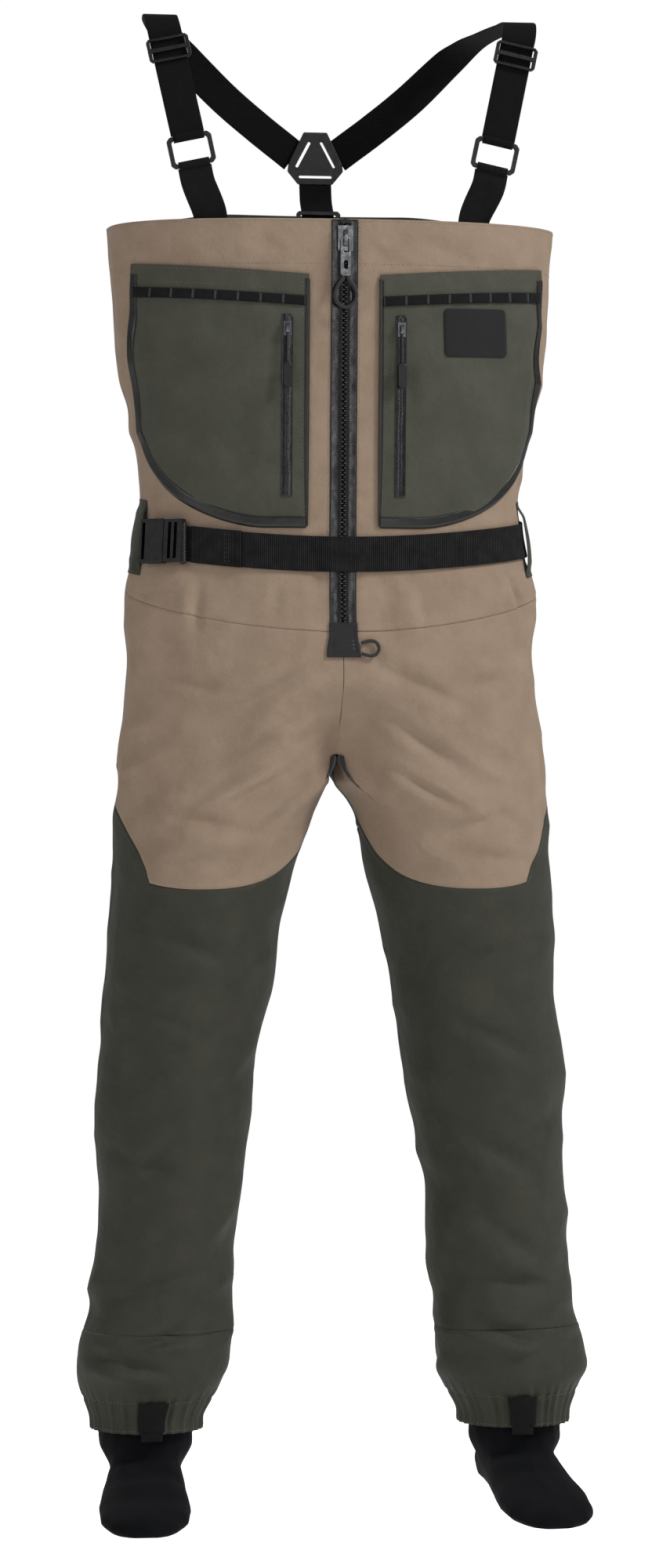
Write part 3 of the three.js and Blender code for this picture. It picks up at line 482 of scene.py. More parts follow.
FRONT, BACK = -1, 1
FOLDS = [
    # bib above the pockets, and its sides
    (-238, -300, -196, -420, FRONT, 7, 2.0),
    (236, -310, 214, -470, FRONT, 7, 2.4),
    (-120, -240, -60, -262, FRONT, 6, 1.0),
    (60, -236, 150, -262, FRONT, 7, 1.2),
    # deep folds above and below the belt
    (222, -490, 196, -572, FRONT, 5, 4.2),
    (-212, -500, -196, -560, FRONT, 5, 2.6),
    (195, -612, 214, -668, FRONT, 5, 3.8),
    (-158, -620, -166, -690, FRONT, 6, 2.6),
    (-70, -622, -78, -672, FRONT, 7, 1.8),
    (84, -624, 96, -690, FRONT, 7, 1.8),
    # fly and lap
    (-20, -716, -150, -790, FRONT, 8, 2.6),
    (24, -716, 160, -776, FRONT, 8, 2.6),
    (-26, -770, -150, -850, FRONT, 8, 3.2),
    (28, -766, 150, -846, FRONT, 8, 3.2),
    (-34, -826, -130, -878, FRONT, 7, 3.0),
    (34, -826, 140, -884, FRONT, 7, 3.0),
    (-214, -730, -120, -756, FRONT, 8, 1.8),
    (210, -730, 130, -752, FRONT, 8, 1.8),
    # thighs
    (-216, -884, -90, -914, FRONT, 8, 2.6),
    (222, -880, 96, -916, FRONT, 8, 2.6),
    (-226, -950, -120, -938, FRONT, 7, 1.8),
    (230, -944, 130, -934, FRONT, 7, 1.8),
    # knees and shins
    (-236, -1010, -110, -1062, FRONT, 10, 2.6),
    (240, -1020, 110, -1076, FRONT, 10, 2.6),
    (-120, -1120, -236, -1190, FRONT, 11, 2.8),
    (112, -1110, 250, -1180, FRONT, 11, 2.8),
    (-250, -1090, -140, -1150, FRONT, 9, 1.8),
    (-140, -1230, -262, -1330, FRONT, 12, 2.8),
    (130, -1240, 270, -1330, FRONT, 12, 2.8),
    (-266, -1260, -170, -1310, FRONT, 9, 2.0),
    (262, -1220, 170, -1290, FRONT, 9, 2.0),
    (-150, -1350, -270, -1420, FRONT, 11, 2.8),
    (150, -1340, 270, -1420, FRONT, 11, 2.8),
    # slack cloth above the guards
    (-272, -1440, -146, -1404, FRONT, 8, 3.4),
    (274, -1430, 150, -1414, FRONT, 8, 3.2),
    (-150, -1462, -258, -1500, FRONT, 8, 4.4),
    (152, -1466, 250, -1494, FRONT, 8, 4.4),
    (-280, -1496, -190, -1520, FRONT, 7, 4.2),
    (284, -1490, 196, -1514, FRONT, 7, 4.2),
    # behind
    (-150, -500, -60, -585, BACK, 8, 3.0),
    (150, -505, 60, -588, BACK, 8, 3.0),
    (-90, -640, -150, -700, BACK, 8, 2.6),
    (90, -640, 150, -706, BACK, 8, 2.6),
    (-30, -830, -150, -880, BACK, 9, 3.4),
    (30, -830, 150, -884, BACK, 9, 3.4),
    (-230, -960, -90, -1010, BACK, 9, 3.0),
    (230, -950, 90, -1006, BACK, 9, 3.0),
    (-110, -1060, -240, -1110, BACK, 9, 3.4),
    (110, -1070, 240, -1116, BACK, 9, 3.4),
    (-260, -1200, -140, -1290, BACK, 11, 3.0),
    (260, -1210, 140, -1300, BACK, 11, 3.0),
    (-270, -1420, -150, -1470, BACK, 8, 4.0),
    (270, -1424, 150, -1474, BACK, 8, 4.0),
]


BELT_RISE = 26.0


def belt_height(x_share):
    """Height of the belt's middle, over the share of the way round from front to back"""
    return WAIST + BELT_RISE * (1 - np.cos(x_share * math.pi))


def calm(points):
    """0 where something lies on the cloth, 1 where it hangs free"""
    x, y, z = np.moveaxis(points, -1, 0)
    zip_line = np.where(y < 0, ease(np.abs(x), 20, 46), 1)
    zip_line = np.maximum(zip_line, ease(-z, 716, 742))
    edge = ease(-z, 224, 262)
    edge = np.maximum(edge, 0.25)
    share = np.arctan2(np.abs(x), -y) / math.pi
    belt = ease(np.abs(z - belt_height(share)), 18, 44)
    hem = ease(z, HEM + 36, HEM + 72)
    pocket = 1 - (1 - ease(-z, 566, 590)) * ease(-z, 262, 284) * (y < 0) \
        * (1 - ease(np.abs(x), 205, 222))
    pocket = np.maximum(pocket, 0.12)
    return zip_line * edge * belt * hem * pocket


def folds(points):
    """How far the cloth stands off its plain form, in mm"""
    x, y, z = np.moveaxis(points, -1, 0)
    share = np.arctan2(np.abs(x), -y) / math.pi
    off_belt = np.abs(z - belt_height(share))
    around = np.stack([x, y, z * 0.16], axis=-1)
    gathers = ridges(around, 34) * 4.6 * np.exp(-((off_belt - 34) / 46) ** 2)
    level = np.stack([x * 0.45, y * 0.45, z], axis=-1)
    slanted = np.stack([x * 0.5, y * 0.6, z + 0.45 * np.abs(x)], axis=-1)
    broad = 3.6 * noise(points, 110) + 3.2 * ridges(slanted, 56) + 0.9 * noise(points, 24)
    legs = ease(-z, 1000, 1100)
    ripple = legs * (3.6 * ridges(slanted, 64) + 1.8 * noise(level, 40))
    slack = ease(-z, 1370, 1450) * (1 - ease(-z, 1560, 1590)) * (
        6.0 * ridges(level, 46) + 2.2 * noise(level, 24))
    lap = np.exp(-((z + 850) / 110) ** 2) * 5.0 * ridges(slanted, 40)
    free = broad + 1.3 * gathers + 1.4 * ripple + 1.3 * slack + 1.3 * lap
    blouse = 2.6 * ease(-z, 1400, 1480) * (1 - ease(-z, 1540, 1584))
    lift = calm(points) * (free + 2.1 * creases(points, FOLDS) + blouse)
    deepest = -8 + 6.2 * ease(-z, 1430, 1474)
    return np.maximum(lift, deepest)


PLEATS_TURNED = {"left": 0.7, "right": 0}


def gathered(points, angle):
    """The elastic hem pulls the guard's last 35 mm into small upright pleats"""
    z = points[..., 2]
    held = 1 - ease(z, HEM + 24, HEM + 58)
    wave = np.sin(angle * 34 + 1.4 * np.sin(angle * 5)) + 0.5 * np.sin(angle * 53 + 2)
    return held * (1.15 * wave - 0.3) - 1.1 * np.exp(-((z - HEM - 35) / 2.2) ** 2)


def folded(points, normals):
    return points + normals * folds(points)[..., None]


def shell_at(along, z, lift=0.0):
    """Points on the folded trunk, raised by lift, with their normals"""
    along, z = np.broadcast_arrays(np.asarray(along, float), np.asarray(z, float))
    step = 0.6
    across = trunk(along + step, z) - trunk(along - step, z)
    upward = trunk(along, z + step) - trunk(along, z - step)
    normals = unit(np.cross(across, upward))
    points = folded(trunk(along, z), normals)
    return points + normals * np.broadcast_to(lift, points.shape[:-1])[..., None], normals


# ---------------------------------------------------------------- materials

def linear(colour):
    """An sRGB hex colour as linear red, green and blue, opaque"""
    parts = [int(colour[k:k + 2], 16) / 255 for k in (1, 3, 5)]
    return [c / 12.92 if c <= 0.04045 else ((c + 0.055) / 1.055) ** 2.4 for c in parts] + [1.0]


def node(tree, kind, inputs=None, **settings):
    """Adds a node: settings are its own, inputs are sockets to link or values to set"""
    made = tree.nodes.new(kind)
    for key, value in settings.items():
        setattr(made, key, value)
    for key, value in (inputs or {}).items():
        if isinstance(value, bpy.types.NodeSocket):
            tree.links.new(value, made.inputs[key])
        else:
            made.inputs[key].default_value = value
    return made


def material(name, **shader):
    """A material, its node tree and its principled shader"""
    made = bpy.data.materials.new(name)
    made.use_nodes = True
    tree = made.node_tree
    principled = tree.nodes["Principled BSDF"]
    for key, value in shader.items():
        principled.inputs[key.replace("_", " ")].default_value = value
    return made, tree, principled


def mixed(tree, factor, a, b):
    return node(tree, "ShaderNodeMix", {0: factor, 6: a, 7: b}, data_type="RGBA").outputs[2]


def per_metre(millimetres):
    """Texture scale for features of that size"""
    return 1000 / millimetres


def spots(tree, vector, size, detail=2.0, roughness=0.5):
    made = node(tree, "ShaderNodeTexNoise", {"Vector": vector, "Scale": per_metre(size),
                                             "Detail": detail, "Roughness": roughness})
    return made.outputs[0]


def lines(tree, vector, spacing, direction, distortion=0.0):
    # a wave texture repeats every 2 pi / 20 of its scaled vector
    made = node(tree, "ShaderNodeTexWave",
                {"Vector": vector, "Scale": per_metre(spacing) * math.pi / 10,
                 "Distortion": distortion, "Detail": 1.0, "Detail Scale": 2.0},
                wave_type="BANDS", bands_direction=direction)
    return made.outputs["Fac"]


def number(tree, operation, a, b):
    made = node(tree, "ShaderNodeMath", {0: a, 1: b}, operation=operation)
    return made.outputs[0]


def spread(tree, value, low, high, from_low=0.0, from_high=1.0):
    made = node(tree, "ShaderNodeMapRange", {"Value": value, "From Min": from_low,
                                             "From Max": from_high, "To Min": low, "To Max": high})
    return made.outputs[0]


def bumped(tree, principled, height, depth, strength=1.0, under=None):
    """depth in mm"""
    inputs = {"Height": height, "Strength": strength, "Distance": depth * MM}
    if under is not None:
        inputs["Normal"] = under
    made = node(tree, "ShaderNodeBump", inputs)
    tree.links.new(made.outputs[0], principled.inputs["Normal"])
    return made.outputs[0]


def cloth_coordinates(tree):
    return node(tree, "ShaderNodeTexCoord").outputs["UV"]


def solid_coordinates(tree):
    return node(tree, "ShaderNodeTexCoord").outputs["Object"]


def laminate(name, colour, light, dark, roughness=0.72):
    """Three-layer nylon laminate, plain woven and piece dyed: matt, faintly mottled, with a soft
    sheen at glancing angles. Its 0.25 mm threads are drawn 1.1 mm apart, as fine as shows."""
    made, tree, principled = material(name, Roughness=roughness, Sheen_Weight=0.05,
                                      Sheen_Roughness=0.45, IOR=1.5)
    principled.inputs["Specular IOR Level"].default_value = 0.2
    uv, place = cloth_coordinates(tree), solid_coordinates(tree)
    warp = lines(tree, uv, 1.1, "X", 0.6)
    weft = lines(tree, uv, 1.1, "Y", 0.6)
    weave = number(tree, "MULTIPLY", warp, weft)
    mottle = spots(tree, place, 38, 4.0, 0.6)
    fine = spots(tree, place, 3.2, 3.0, 0.7)
    tone = mixed(tree, spread(tree, mottle, 0, 1, 0.32, 0.68), linear(dark), linear(light))
    tone = mixed(tree, 0.5, linear(colour), tone)
    thread = mixed(tree, spread(tree, weave, 0, 0.16), tone, linear(light))
    speckle = mixed(tree, spread(tree, fine, 0, 0.3, 0.45, 0.75), thread, linear(dark))
    tree.links.new(speckle, principled.inputs["Base Color"])
    tree.links.new(spread(tree, mottle, roughness - 0.06, roughness + 0.07, 0.3, 0.7),
                   principled.inputs["Roughness"])
    crumple = spots(tree, place, 26, 4.0, 0.55)
    under = bumped(tree, principled, crumple, 4.0, 0.7)
    bumped(tree, principled, weave, 0.07, 0.6, under)
    return made


def tricot_lining():
    """Knitted tricot backer bonded inside the laminate: dark grey, dull, with fine wales"""
    made, tree, principled = material("tricot_backer_knitted", Roughness=0.9, Sheen_Weight=0.2)
    uv = cloth_coordinates(tree)
    wales = lines(tree, uv, 1.4, "X", 1.0)
    tone = mixed(tree, spread(tree, wales, 0, 0.5), linear("#2b2a29"), linear("#3a3937"))
    tree.links.new(tone, principled.inputs["Base Color"])
    bumped(tree, principled, wales, 0.12)
    return made


def woven_webbing(name, rib, across, colour, light):
    """Polyester webbing off a narrow loom: round ribs with a fine pick between them, dull black
    with paler worn crowns. `across` ribs run from edge to edge, the others lengthwise."""
    made, tree, principled = material(name, Roughness=0.8, Sheen_Weight=0.02, IOR=1.4)
    principled.inputs["Specular IOR Level"].default_value = 0.15
    uv = cloth_coordinates(tree)
    ribs = lines(tree, uv, rib, "Y" if across else "X", 0.15)
    picks = lines(tree, uv, rib * 0.55, "X" if across else "Y", 0.4)
    lumps = number(tree, "MULTIPLY", ribs, spread(tree, picks, 0.55, 1.0))
    patchy = spots(tree, uv, 14, 3.0)
    crown = number(tree, "MULTIPLY", number(tree, "POWER", lumps, 1.6), patchy)
    tone = mixed(tree, spread(tree, crown, 0, 1.0, 0.05, 0.6), linear(colour), linear(light))
    tree.links.new(tone, principled.inputs["Base Color"])
    bumped(tree, principled, lumps, 0.35, 0.9)
    return made


def coated_tape(name, colour, roughness, light):
    """Seam tape and zip tape: black polyurethane laminated on a knit, satin, with a faint knit
    showing through"""
    made, tree, principled = material(name, Roughness=roughness, IOR=1.5, Coat_Weight=0.12,
                                      Coat_Roughness=0.3)
    uv = cloth_coordinates(tree)
    knit = lines(tree, uv, 1.0, "X", 1.5)
    scuff = spots(tree, uv, 9, 4.0, 0.6)
    tone = mixed(tree, spread(tree, scuff, 0, 0.5, 0.35, 0.8), linear(colour), linear(light))
    tree.links.new(tone, principled.inputs["Base Color"])
    tree.links.new(spread(tree, scuff, roughness - 0.07, roughness + 0.12, 0.3, 0.7),
                   principled.inputs["Roughness"])
    ripple = spots(tree, solid_coordinates(tree), 24, 1.0)
    under = bumped(tree, principled, ripple, 2.2, 0.6)
    bumped(tree, principled, knit, 0.02, 0.12, under)
    return made


def moulded(name, colour="#0c0d0e", roughness=0.36, light="#1b1c1e"):
    """Injection-moulded acetal: black, satin, a fine spark-eroded grain and rubbed corners"""
    made, tree, principled = material(name, Roughness=roughness, IOR=1.48)
    place = solid_coordinates(tree)
    grain = spots(tree, place, 0.7, 2.0)
    rub = spots(tree, place, 7, 4.0, 0.65)
    tone = mixed(tree, spread(tree, rub, 0, 0.6, 0.5, 0.8), linear(colour), linear(light))
    tree.links.new(tone, principled.inputs["Base Color"])
    tree.links.new(spread(tree, rub, roughness - 0.08, roughness + 0.12, 0.3, 0.7),
                   principled.inputs["Roughness"])
    bumped(tree, principled, grain, 0.02, 0.2)
    return made


def plated_metal():
    """Zinc die casting with a dark plated finish: smooth grey, brighter where it is rubbed"""
    made, tree, principled = material("die_cast_zinc_plated", Roughness=0.3, Metallic=1.0)
    place = solid_coordinates(tree)
    rub = spots(tree, place, 6, 3.0, 0.5)
    tone = mixed(tree, spread(tree, rub, 0.2, 0.8, 0.3, 0.7), linear("#55565a"), linear("#7c7d80"))
    tree.links.new(tone, principled.inputs["Base Color"])
    tree.links.new(spread(tree, rub, 0.38, 0.22, 0.3, 0.7), principled.inputs["Roughness"])
    bumped(tree, principled, spots(tree, place, 2.5), 0.02, 0.1)
    return made


def jersey_neoprene():
    """Foamed neoprene faced with nylon jersey: blue-black, dull and softly dimpled"""
    made, tree, principled = material("neoprene_jersey_faced", Roughness=0.9, Sheen_Weight=0.03,
                                      Sheen_Roughness=0.5)
    principled.inputs["Specular IOR Level"].default_value = 0.12
    place = solid_coordinates(tree)
    stitch = node(tree, "ShaderNodeTexVoronoi",
                  {"Vector": place, "Scale": per_metre(1.6)}).outputs[0]
    broad = spots(tree, place, 45, 3.0)
    tone = mixed(tree, spread(tree, broad, 0, 1, 0.35, 0.7), linear("#08090b"), linear("#101116"))
    tree.links.new(tone, principled.inputs["Base Color"])
    under = bumped(tree, principled, broad, 1.6, 0.4)
    bumped(tree, principled, stitch, 0.16, 0.7, under)
    return made


def braid():
    """Braided polyester cord: strands wind both ways round it"""
    made, tree, principled = material("polyester_cord_braided", Roughness=0.75, Sheen_Weight=0.1)
    uv = cloth_coordinates(tree)
    one = node(tree, "ShaderNodeMapping", {"Vector": uv, "Scale": (0.004, 1.0, 1.0),
                                           "Rotation": (0, 0, math.radians(40))}).outputs[0]
    two = node(tree, "ShaderNodeMapping", {"Vector": uv, "Scale": (0.004, 1.0, 1.0),
                                           "Rotation": (0, 0, math.radians(-40))}).outputs[0]
    strands = number(tree, "MAXIMUM", lines(tree, one, 1.6, "Y"), lines(tree, two, 1.6, "Y"))
    tone = mixed(tree, spread(tree, strands, 0, 1), linear("#0f0f10"), linear("#2c2c2d"))
    tree.links.new(tone, principled.inputs["Base Color"])
    bumped(tree, principled, strands, 0.3, 0.9)
    return made


def loop_face():
    """Hook-and-loop tape, loop side: a mat of fine nylon loops, sooty black"""
    made, tree, principled = material("nylon_loop_tape_napped", Roughness=0.95, Sheen_Weight=0.06,
                                      Sheen_Roughness=0.6)
    place = solid_coordinates(tree)
    fuzz = spots(tree, place, 1.1, 5.0, 0.75)
    tone = mixed(tree, spread(tree, fuzz, 0, 1, 0.35, 0.7), linear("#0f0d0e"), linear("#1c191a"))
    tree.links.new(tone, principled.inputs["Base Color"])
    bumped(tree, principled, fuzz, 0.5, 0.9)
    return made


def thread(name, colour):
    """Bonded polyester sewing thread: a slight gloss on each stitch"""
    made, tree, principled = material(name, Roughness=0.55, Sheen_Weight=0.1)
    tone = spots(tree, solid_coordinates(tree), 5, 2.0)
    tree.links.new(mixed(tree, spread(tree, tone, 0, 0.5, 0.3, 0.7), linear(colour),
                         linear("#2b2926")), principled.inputs["Base Color"])
    return made


TAN = laminate("nylon_laminate_tan", "#96826f", "#a28e7c", "#897563")
OLIVE = laminate("nylon_laminate_dark_olive", "#3a3a32", "#43433a", "#30312a", 0.66)
POCKET = laminate("nylon_laminate_grey_olive", "#48483f", "#525348", "#3e3f36", 0.68)
LINING = tricot_lining()
BELT_WEB = woven_webbing("polyester_webbing_cross_ribbed", 2.3, True, "#0c0c0d", "#3c3c3d")
STRAP_WEB = woven_webbing("polyester_webbing_plain", 1.6, False, "#0d0d0e", "#262627")
ELASTIC = woven_webbing("elastic_webbing_covered", 1.3, False, "#0a0a0b", "#1a1a1b")
DAISY_WEB = woven_webbing("polyester_tape_narrow", 1.2, False, "#151516", "#2b2b2c")
TAPE = coated_tape("polyurethane_seam_tape", "#141413", 0.34, "#262625")
ZIP_TAPE = coated_tape("polyurethane_zip_tape", "#0c0c0d", 0.22, "#161617")
PLASTIC = moulded("acetal_moulded_black")
TEETH = moulded("acetal_zip_teeth", "#0d0d0f", 0.26, "#1d1e20")
RUBBER = moulded("rubber_moulded_grip", "#0e0e0f", 0.5, "#1c1c1e")
METAL = plated_metal()
NEOPRENE = jersey_neoprene()
CORD = braid()
LOOP_TAPE = loop_face()
TAN_THREAD = thread("polyester_thread_tan", "#a6978a")
OLIVE_THREAD = thread("polyester_thread_olive", "#77705f")
BLACK_THREAD = thread("polyester_thread_black", "#1d1d1e")


# ---------------------------------------------------------------- cords

def cord_piece(name, body, given, count, diameter, node_name):
    route = spline(given, count)
    obj = tube(name, route, diameter)
    attach(obj, body, [CORD], [node_name])
    return obj


PULL_HINGE = (0, -131.2287, -244.4664)
POCKET_HINGE = (64.7178, -125.5347, -345.4502)


def zip_pull_loop():
    half = [(2.4, 0), (4.6, -4), (9, -10), (12, -17), (11.5, -25), (6.5, -31.5)]
    shape = [(-x, y) for x, y in half] + [(0, -34)] + half[::-1]
    route = [(x, PULL_HINGE[1], PULL_HINGE[2] - 43.6 + y) for x, y in shape]
    return cord_piece("zip_pull_cord", "zip_pull", route, 30, 4, "zip_pull_loop")


def zip_base_cord():
    half = [(0, 6), (5, 7.5), (11, 8.5), (17, 6.5)]
    shape = half + [(20, 0)] + [(x, -y) for x, y in half[::-1]]
    place, out = shell_at(20, -703, 3.2)
    aside = unit(trunk(20.5, -703) - trunk(19.5, -703))
    upward = np.cross(out, aside)
    route = [place + aside * x + upward * y for x, y in shape]
    return cord_piece("zip_foot_cord", "garment", route, 26, 4, "zip_base_loop")


def pocket_cord(side):
    x, y, z = POCKET_HINGE
    route = [(SIDES[side] * x, y, z - 5.58 - 32 * k / 16) for k in range(17)]
    return cord_piece(f"pocket_zip_cord_{side}", f"pocket_pull_{side}", route, 17, 2.4,
                      f"pocket_cord_{side}")


zip_pull_loop()
zip_base_cord()
for side in SIDES:
    pocket_cord(side)


# ---------------------------------------------------------------- shell panels

def welt(points, sides, height=0.55, reach=7.0):
    """Seam allowances folded under: the cloth stands a little proud beside each seam and dips
    into the seam itself. sides names the grid's sewn edges."""
    across, down = lengths_along(points, 1), lengths_along(points, 0)
    far = {"start": across, "end": across[:, -1:] - across,
           "top": down, "bottom": down[-1:] - down}
    lift = np.zeros(points.shape[:2])
    for side in sides:
        distance = far[side]
        rise = height * (1 - ease(distance, reach - 1.5, reach + 1.5))
        lift = np.maximum(lift, rise - 1.3 * np.exp(-(distance / 1.1) ** 2))
    return lift


def denser(count, *places):
    """Shares from 0 to 1, closer together at both ends, so that a seam's edge shows"""
    inner = np.linspace(0, 1, count)
    return np.unique(np.concatenate([inner, *places]))


def panel(name, points, side, body, face, nodes, sewn, about=None, has=None, wraps=False,
          extra=None):
    """side mirrors the grid for the wearer's right"""
    if side == "right":
        points = mirrored(points)
        has = has[:, ::-1] if has is not None else None
        swap = {"start": "end", "end": "start"}
        sewn = [swap.get(edge, edge) for edge in sewn]
    normals = outward(points, wraps, about)
    middle = (1 - ease(np.abs(points[..., 0]), 1, 9)) * (np.abs(normals[..., 1]) > 0.5)
    normals = unit(normals * np.stack([1 - middle, 1 + 0 * middle, 1 + 0 * middle], axis=-1))
    lift = folds(points) + welt(points, sewn)
    if extra is not None:
        lift = lift + extra(points)
    draped = points + normals * lift[..., None]
    thickness = slab(name, draped, outward(draped, wraps, about), -0.9, 0, wraps, has)
    attach(thickness, body, [face, LINING], nodes)
    return thickness


EDGE = np.array([0.004, 0.008, 0.012, 0.018, 0.024])
EDGES = (EDGE, 1 - EDGE)


def chest_grid():
    u = denser(84, *EDGES)[None, :]
    v = denser(104, *EDGES)[:, None]
    z = BIB_TOP + (hip_seam(u) - BIB_TOP) * v
    start = SEAM / 2 + 1
    return trunk(start + (side_seam(z) - SEAM / 2 - start) * u, z)


def back_grid():
    u = denser(170, EDGE / 2, 1 - EDGE / 2)[None, :]
    v = denser(110, *EDGES)[:, None]
    share = 1 - np.abs(2 * u - 1)
    top = BIB_TOP + BACK_RAISE * ease(share, 0, 0.7)
    z = top + (hip_seam(1) - 8 * share - top) * v
    edge = side_seam(z) + SEAM / 2
    return trunk(edge + (2 * half_round(z) - 2 * edge) * u, z)


FLAT_COLUMNS = 16
TURN = 0.003


def front_columns():
    flat = np.linspace(-math.pi / 2 + TURN, -CORNER, FLAT_COLUMNS + 1)[:-1]
    body = -CORNER + (math.pi / 2 - TURN + CORNER) * denser(74, *EDGES)
    return np.concatenate([flat, body])


def hip_cloth(angles, top, bottom, along_at, trunk_rows, leg_rows):
    """Cloth over hip and thigh: above the crotch the leg's flat inner columns are left out"""
    first, last = angles[FLAT_COLUMNS], angles[-1]
    share = np.clip((angles - first) / (last - first), 0, 1)
    v = denser(trunk_rows, EDGE)[:, None]
    z = top(share)[None, :] + (CROTCH - top(share)[None, :]) * v
    upper = trunk(along_at(share[None, :], z), z)[:-1]
    down = denser(leg_rows, 1 - EDGE)[:, None]
    lower = leg(np.repeat(angles[None, :], len(down), axis=0),
                CROTCH + (bottom(angles)[None, :] - CROTCH) * down)
    has = np.ones((len(upper) + len(lower) - 1, len(angles) - 1), bool)
    has[:len(upper), :FLAT_COLUMNS] = False
    return np.concatenate([upper, lower]), has


def hip_grid():
    return hip_cloth(front_columns(), lambda s: hip_seam(s) - SEAM, thigh_edge,
                     lambda s, z: SEAM / 2 + (side_seam(z) - SEAM) * s, 46, 46)


def seat_grid():
    angles = math.pi - front_columns()

    def along(share, z):
        far = half_round(z) - SEAM / 2
        return far + (side_seam(z) + SEAM / 2 - far) * share

    return hip_cloth(angles, lambda s: hip_seam(1) - 8 * (1 - s) - SEAM,
                     lambda a: np.full(a.shape, SEAT_SEAM), along, 46, 30)


def leg_grid(angles, top_at):
    v = denser(130, *EDGES)[:, None]
    top = top_at(angles)[None, :] - SEAM
    return leg(np.repeat(angles[None, :], len(v), axis=0), top + (GUARD_TOP - top) * v)


def guard_grid():
    angles = np.linspace(0, 2 * math.pi, 240, endpoint=False)
    v = np.linspace(0, 1, 62)[:, None]
    return leg(np.repeat(angles[None, :], len(v), axis=0), GUARD_TOP - SEAM + (HEM - GUARD_TOP) * v)


def guard_pleats(side):
    centre = leg_centre(side)

    def pleats(points):
        angle = np.arctan2(points[..., 0] - centre(points[..., 2]), -points[..., 1])
        return gathered(points, angle + PLEATS_TURNED[side])

    return pleats


def make_shell():
    panel("back_panel_cloth", back_grid(), "left", "garment", TAN, ["back_panel"],
          ["bottom", "start", "end"])
    chest, hip, seat = chest_grid(), hip_grid(), seat_grid()
    shin = leg_grid(front_columns(), thigh_edge)
    calf = leg_grid(math.pi - front_columns(), lambda a: np.full(a.shape, SEAT_SEAM))
    for side in SIDES:
        panel(f"chest_panel_cloth_{side}", chest, side, "garment", TAN,
              [f"chest_panel_{side}"], ["bottom", "end"])
        panel(f"hip_panel_cloth_{side}", hip[0], side, "garment", TAN,
              [f"hip_panel_{side}"], ["top", "bottom", "end"], has=hip[1])
        panel(f"seat_panel_cloth_{side}", seat[0], side, "garment", OLIVE,
              [f"seat_panel_{side}"], ["top", "bottom", "end"], has=seat[1])
        panel(f"shin_panel_cloth_{side}", shin, side, "garment", OLIVE,
              [f"shin_panel_{side}"], ["top", "end", "start"], leg_centre(side))
        panel(f"calf_panel_cloth_{side}", calf, side, "garment", OLIVE,
              [f"calf_panel_{side}"], ["top", "end", "start"], leg_centre(side))
        panel(f"gravel_guard_cloth_{side}", guard_grid(), side, "garment", OLIVE,
              [f"gravel_guard_{side}"], ["top"], leg_centre(side), wraps=True,
              extra=guard_pleats(side))


make_shell()


# ---------------------------------------------------------------- stitching

ON_CLOTH = 0.1


def stitches(name, points, normals, body, material_used, slot, length=3.4, gap=1.0, width=0.75,
             height=0.35):
    """A row of lockstitches along a line on the cloth, each a small lozenge"""
    travelled = lengths_along(points, 0)
    total = travelled[-1]
    count = max(int(total / (length + gap)), 2)
    starts = np.arange(count) * total / count

    def at(distance):
        place = np.stack([np.interp(distance, travelled, points[:, n]) for n in range(3)], -1)
        up = unit(np.stack([np.interp(distance, travelled, normals[:, n]) for n in range(3)], -1))
        return place, up

    a, _ = at(starts)
    b, _ = at(starts + total / count - gap)
    middle, up = at(starts + (total / count - gap) / 2)
    side = unit(np.cross(b - a, up)) * width / 2
    corners = np.stack([a, middle + side, middle + up * height, middle - side,
                        middle - up * 0.15, b], axis=1).reshape(-1, 3)
    shape = [(0, 1, 2), (0, 2, 3), (0, 3, 4), (0, 4, 1), (5, 2, 1), (5, 3, 2), (5, 4, 3), (5, 1, 4)]
    faces = [[k * 6 + v for v in f] for k in range(count) for f in shape]
    obj = mesh_object(name, corners, faces)
    face_outward(obj)
    return attach(obj, body, [material_used])


def sew_trunk(name, along, z, **options):
    points, normals = shell_at(along, z, ON_CLOTH)
    stitches(name, points, normals, "garment", TAN_THREAD, "tan_shell", **options)


def sew_bib():
    steps = np.linspace(0, 1, 300)
    for side, sign in SIDES.items():
        edge = side_seam(BIB_TOP)
        hem = sign * (17 + (edge - 19) * steps)
        sew_trunk(f"stitch_bib_edge_{side}", hem, BIB_TOP - 2.5 + 0 * steps, width=0.6)
        sew_trunk(f"stitch_bib_hem_{side}", hem, BIB_TOP - 50 + 0 * steps)
        sew_trunk(f"stitch_zip_{side}", sign * 17.5 + 0 * steps, BIB_TOP - 3 - 455 * steps)
        sew_trunk(f"stitch_hip_seam_{side}", sign * (8 + (side_seam(-640) - 10) * steps),
                  hip_seam(steps) - 5, length=3.8)
    share = 1 - np.abs(2 * steps - 1)
    round_back = side_seam(BIB_TOP) + (2 * half_round(BIB_TOP) - 2 * side_seam(BIB_TOP)) * steps
    top = BIB_TOP + BACK_RAISE * ease(share, 0, 0.7)
    sew_trunk("stitch_back_edge", round_back, top - 3, width=0.6)
    sew_trunk("stitch_back_hem", round_back, top - 50)
    sew_trunk("stitch_back_waist", round_back, -640 + 0 * steps - 8 * share, length=3.8)


def leg_line(side, angle, z):
    step = 0.01
    across = leg(angle + step, z) - leg(angle - step, z)
    upward = leg(angle, z + 0.6) - leg(angle, z - 0.6)
    normals = unit(np.cross(across, upward))
    points = leg(angle, z)
    if side == "right":
        points, normals = points * (-1, 1, 1), normals * (-1, 1, 1)
    points = points + normals * folds(points)[..., None]
    if z.min() < HEM + 60:
        centre = leg_centre(side)(points[..., 2])
        turned = np.arctan2(points[..., 0] - centre, -points[..., 1]) + PLEATS_TURNED[side]
        points = points + normals * gathered(points, turned)[..., None]
    return points + normals * ON_CLOTH, normals


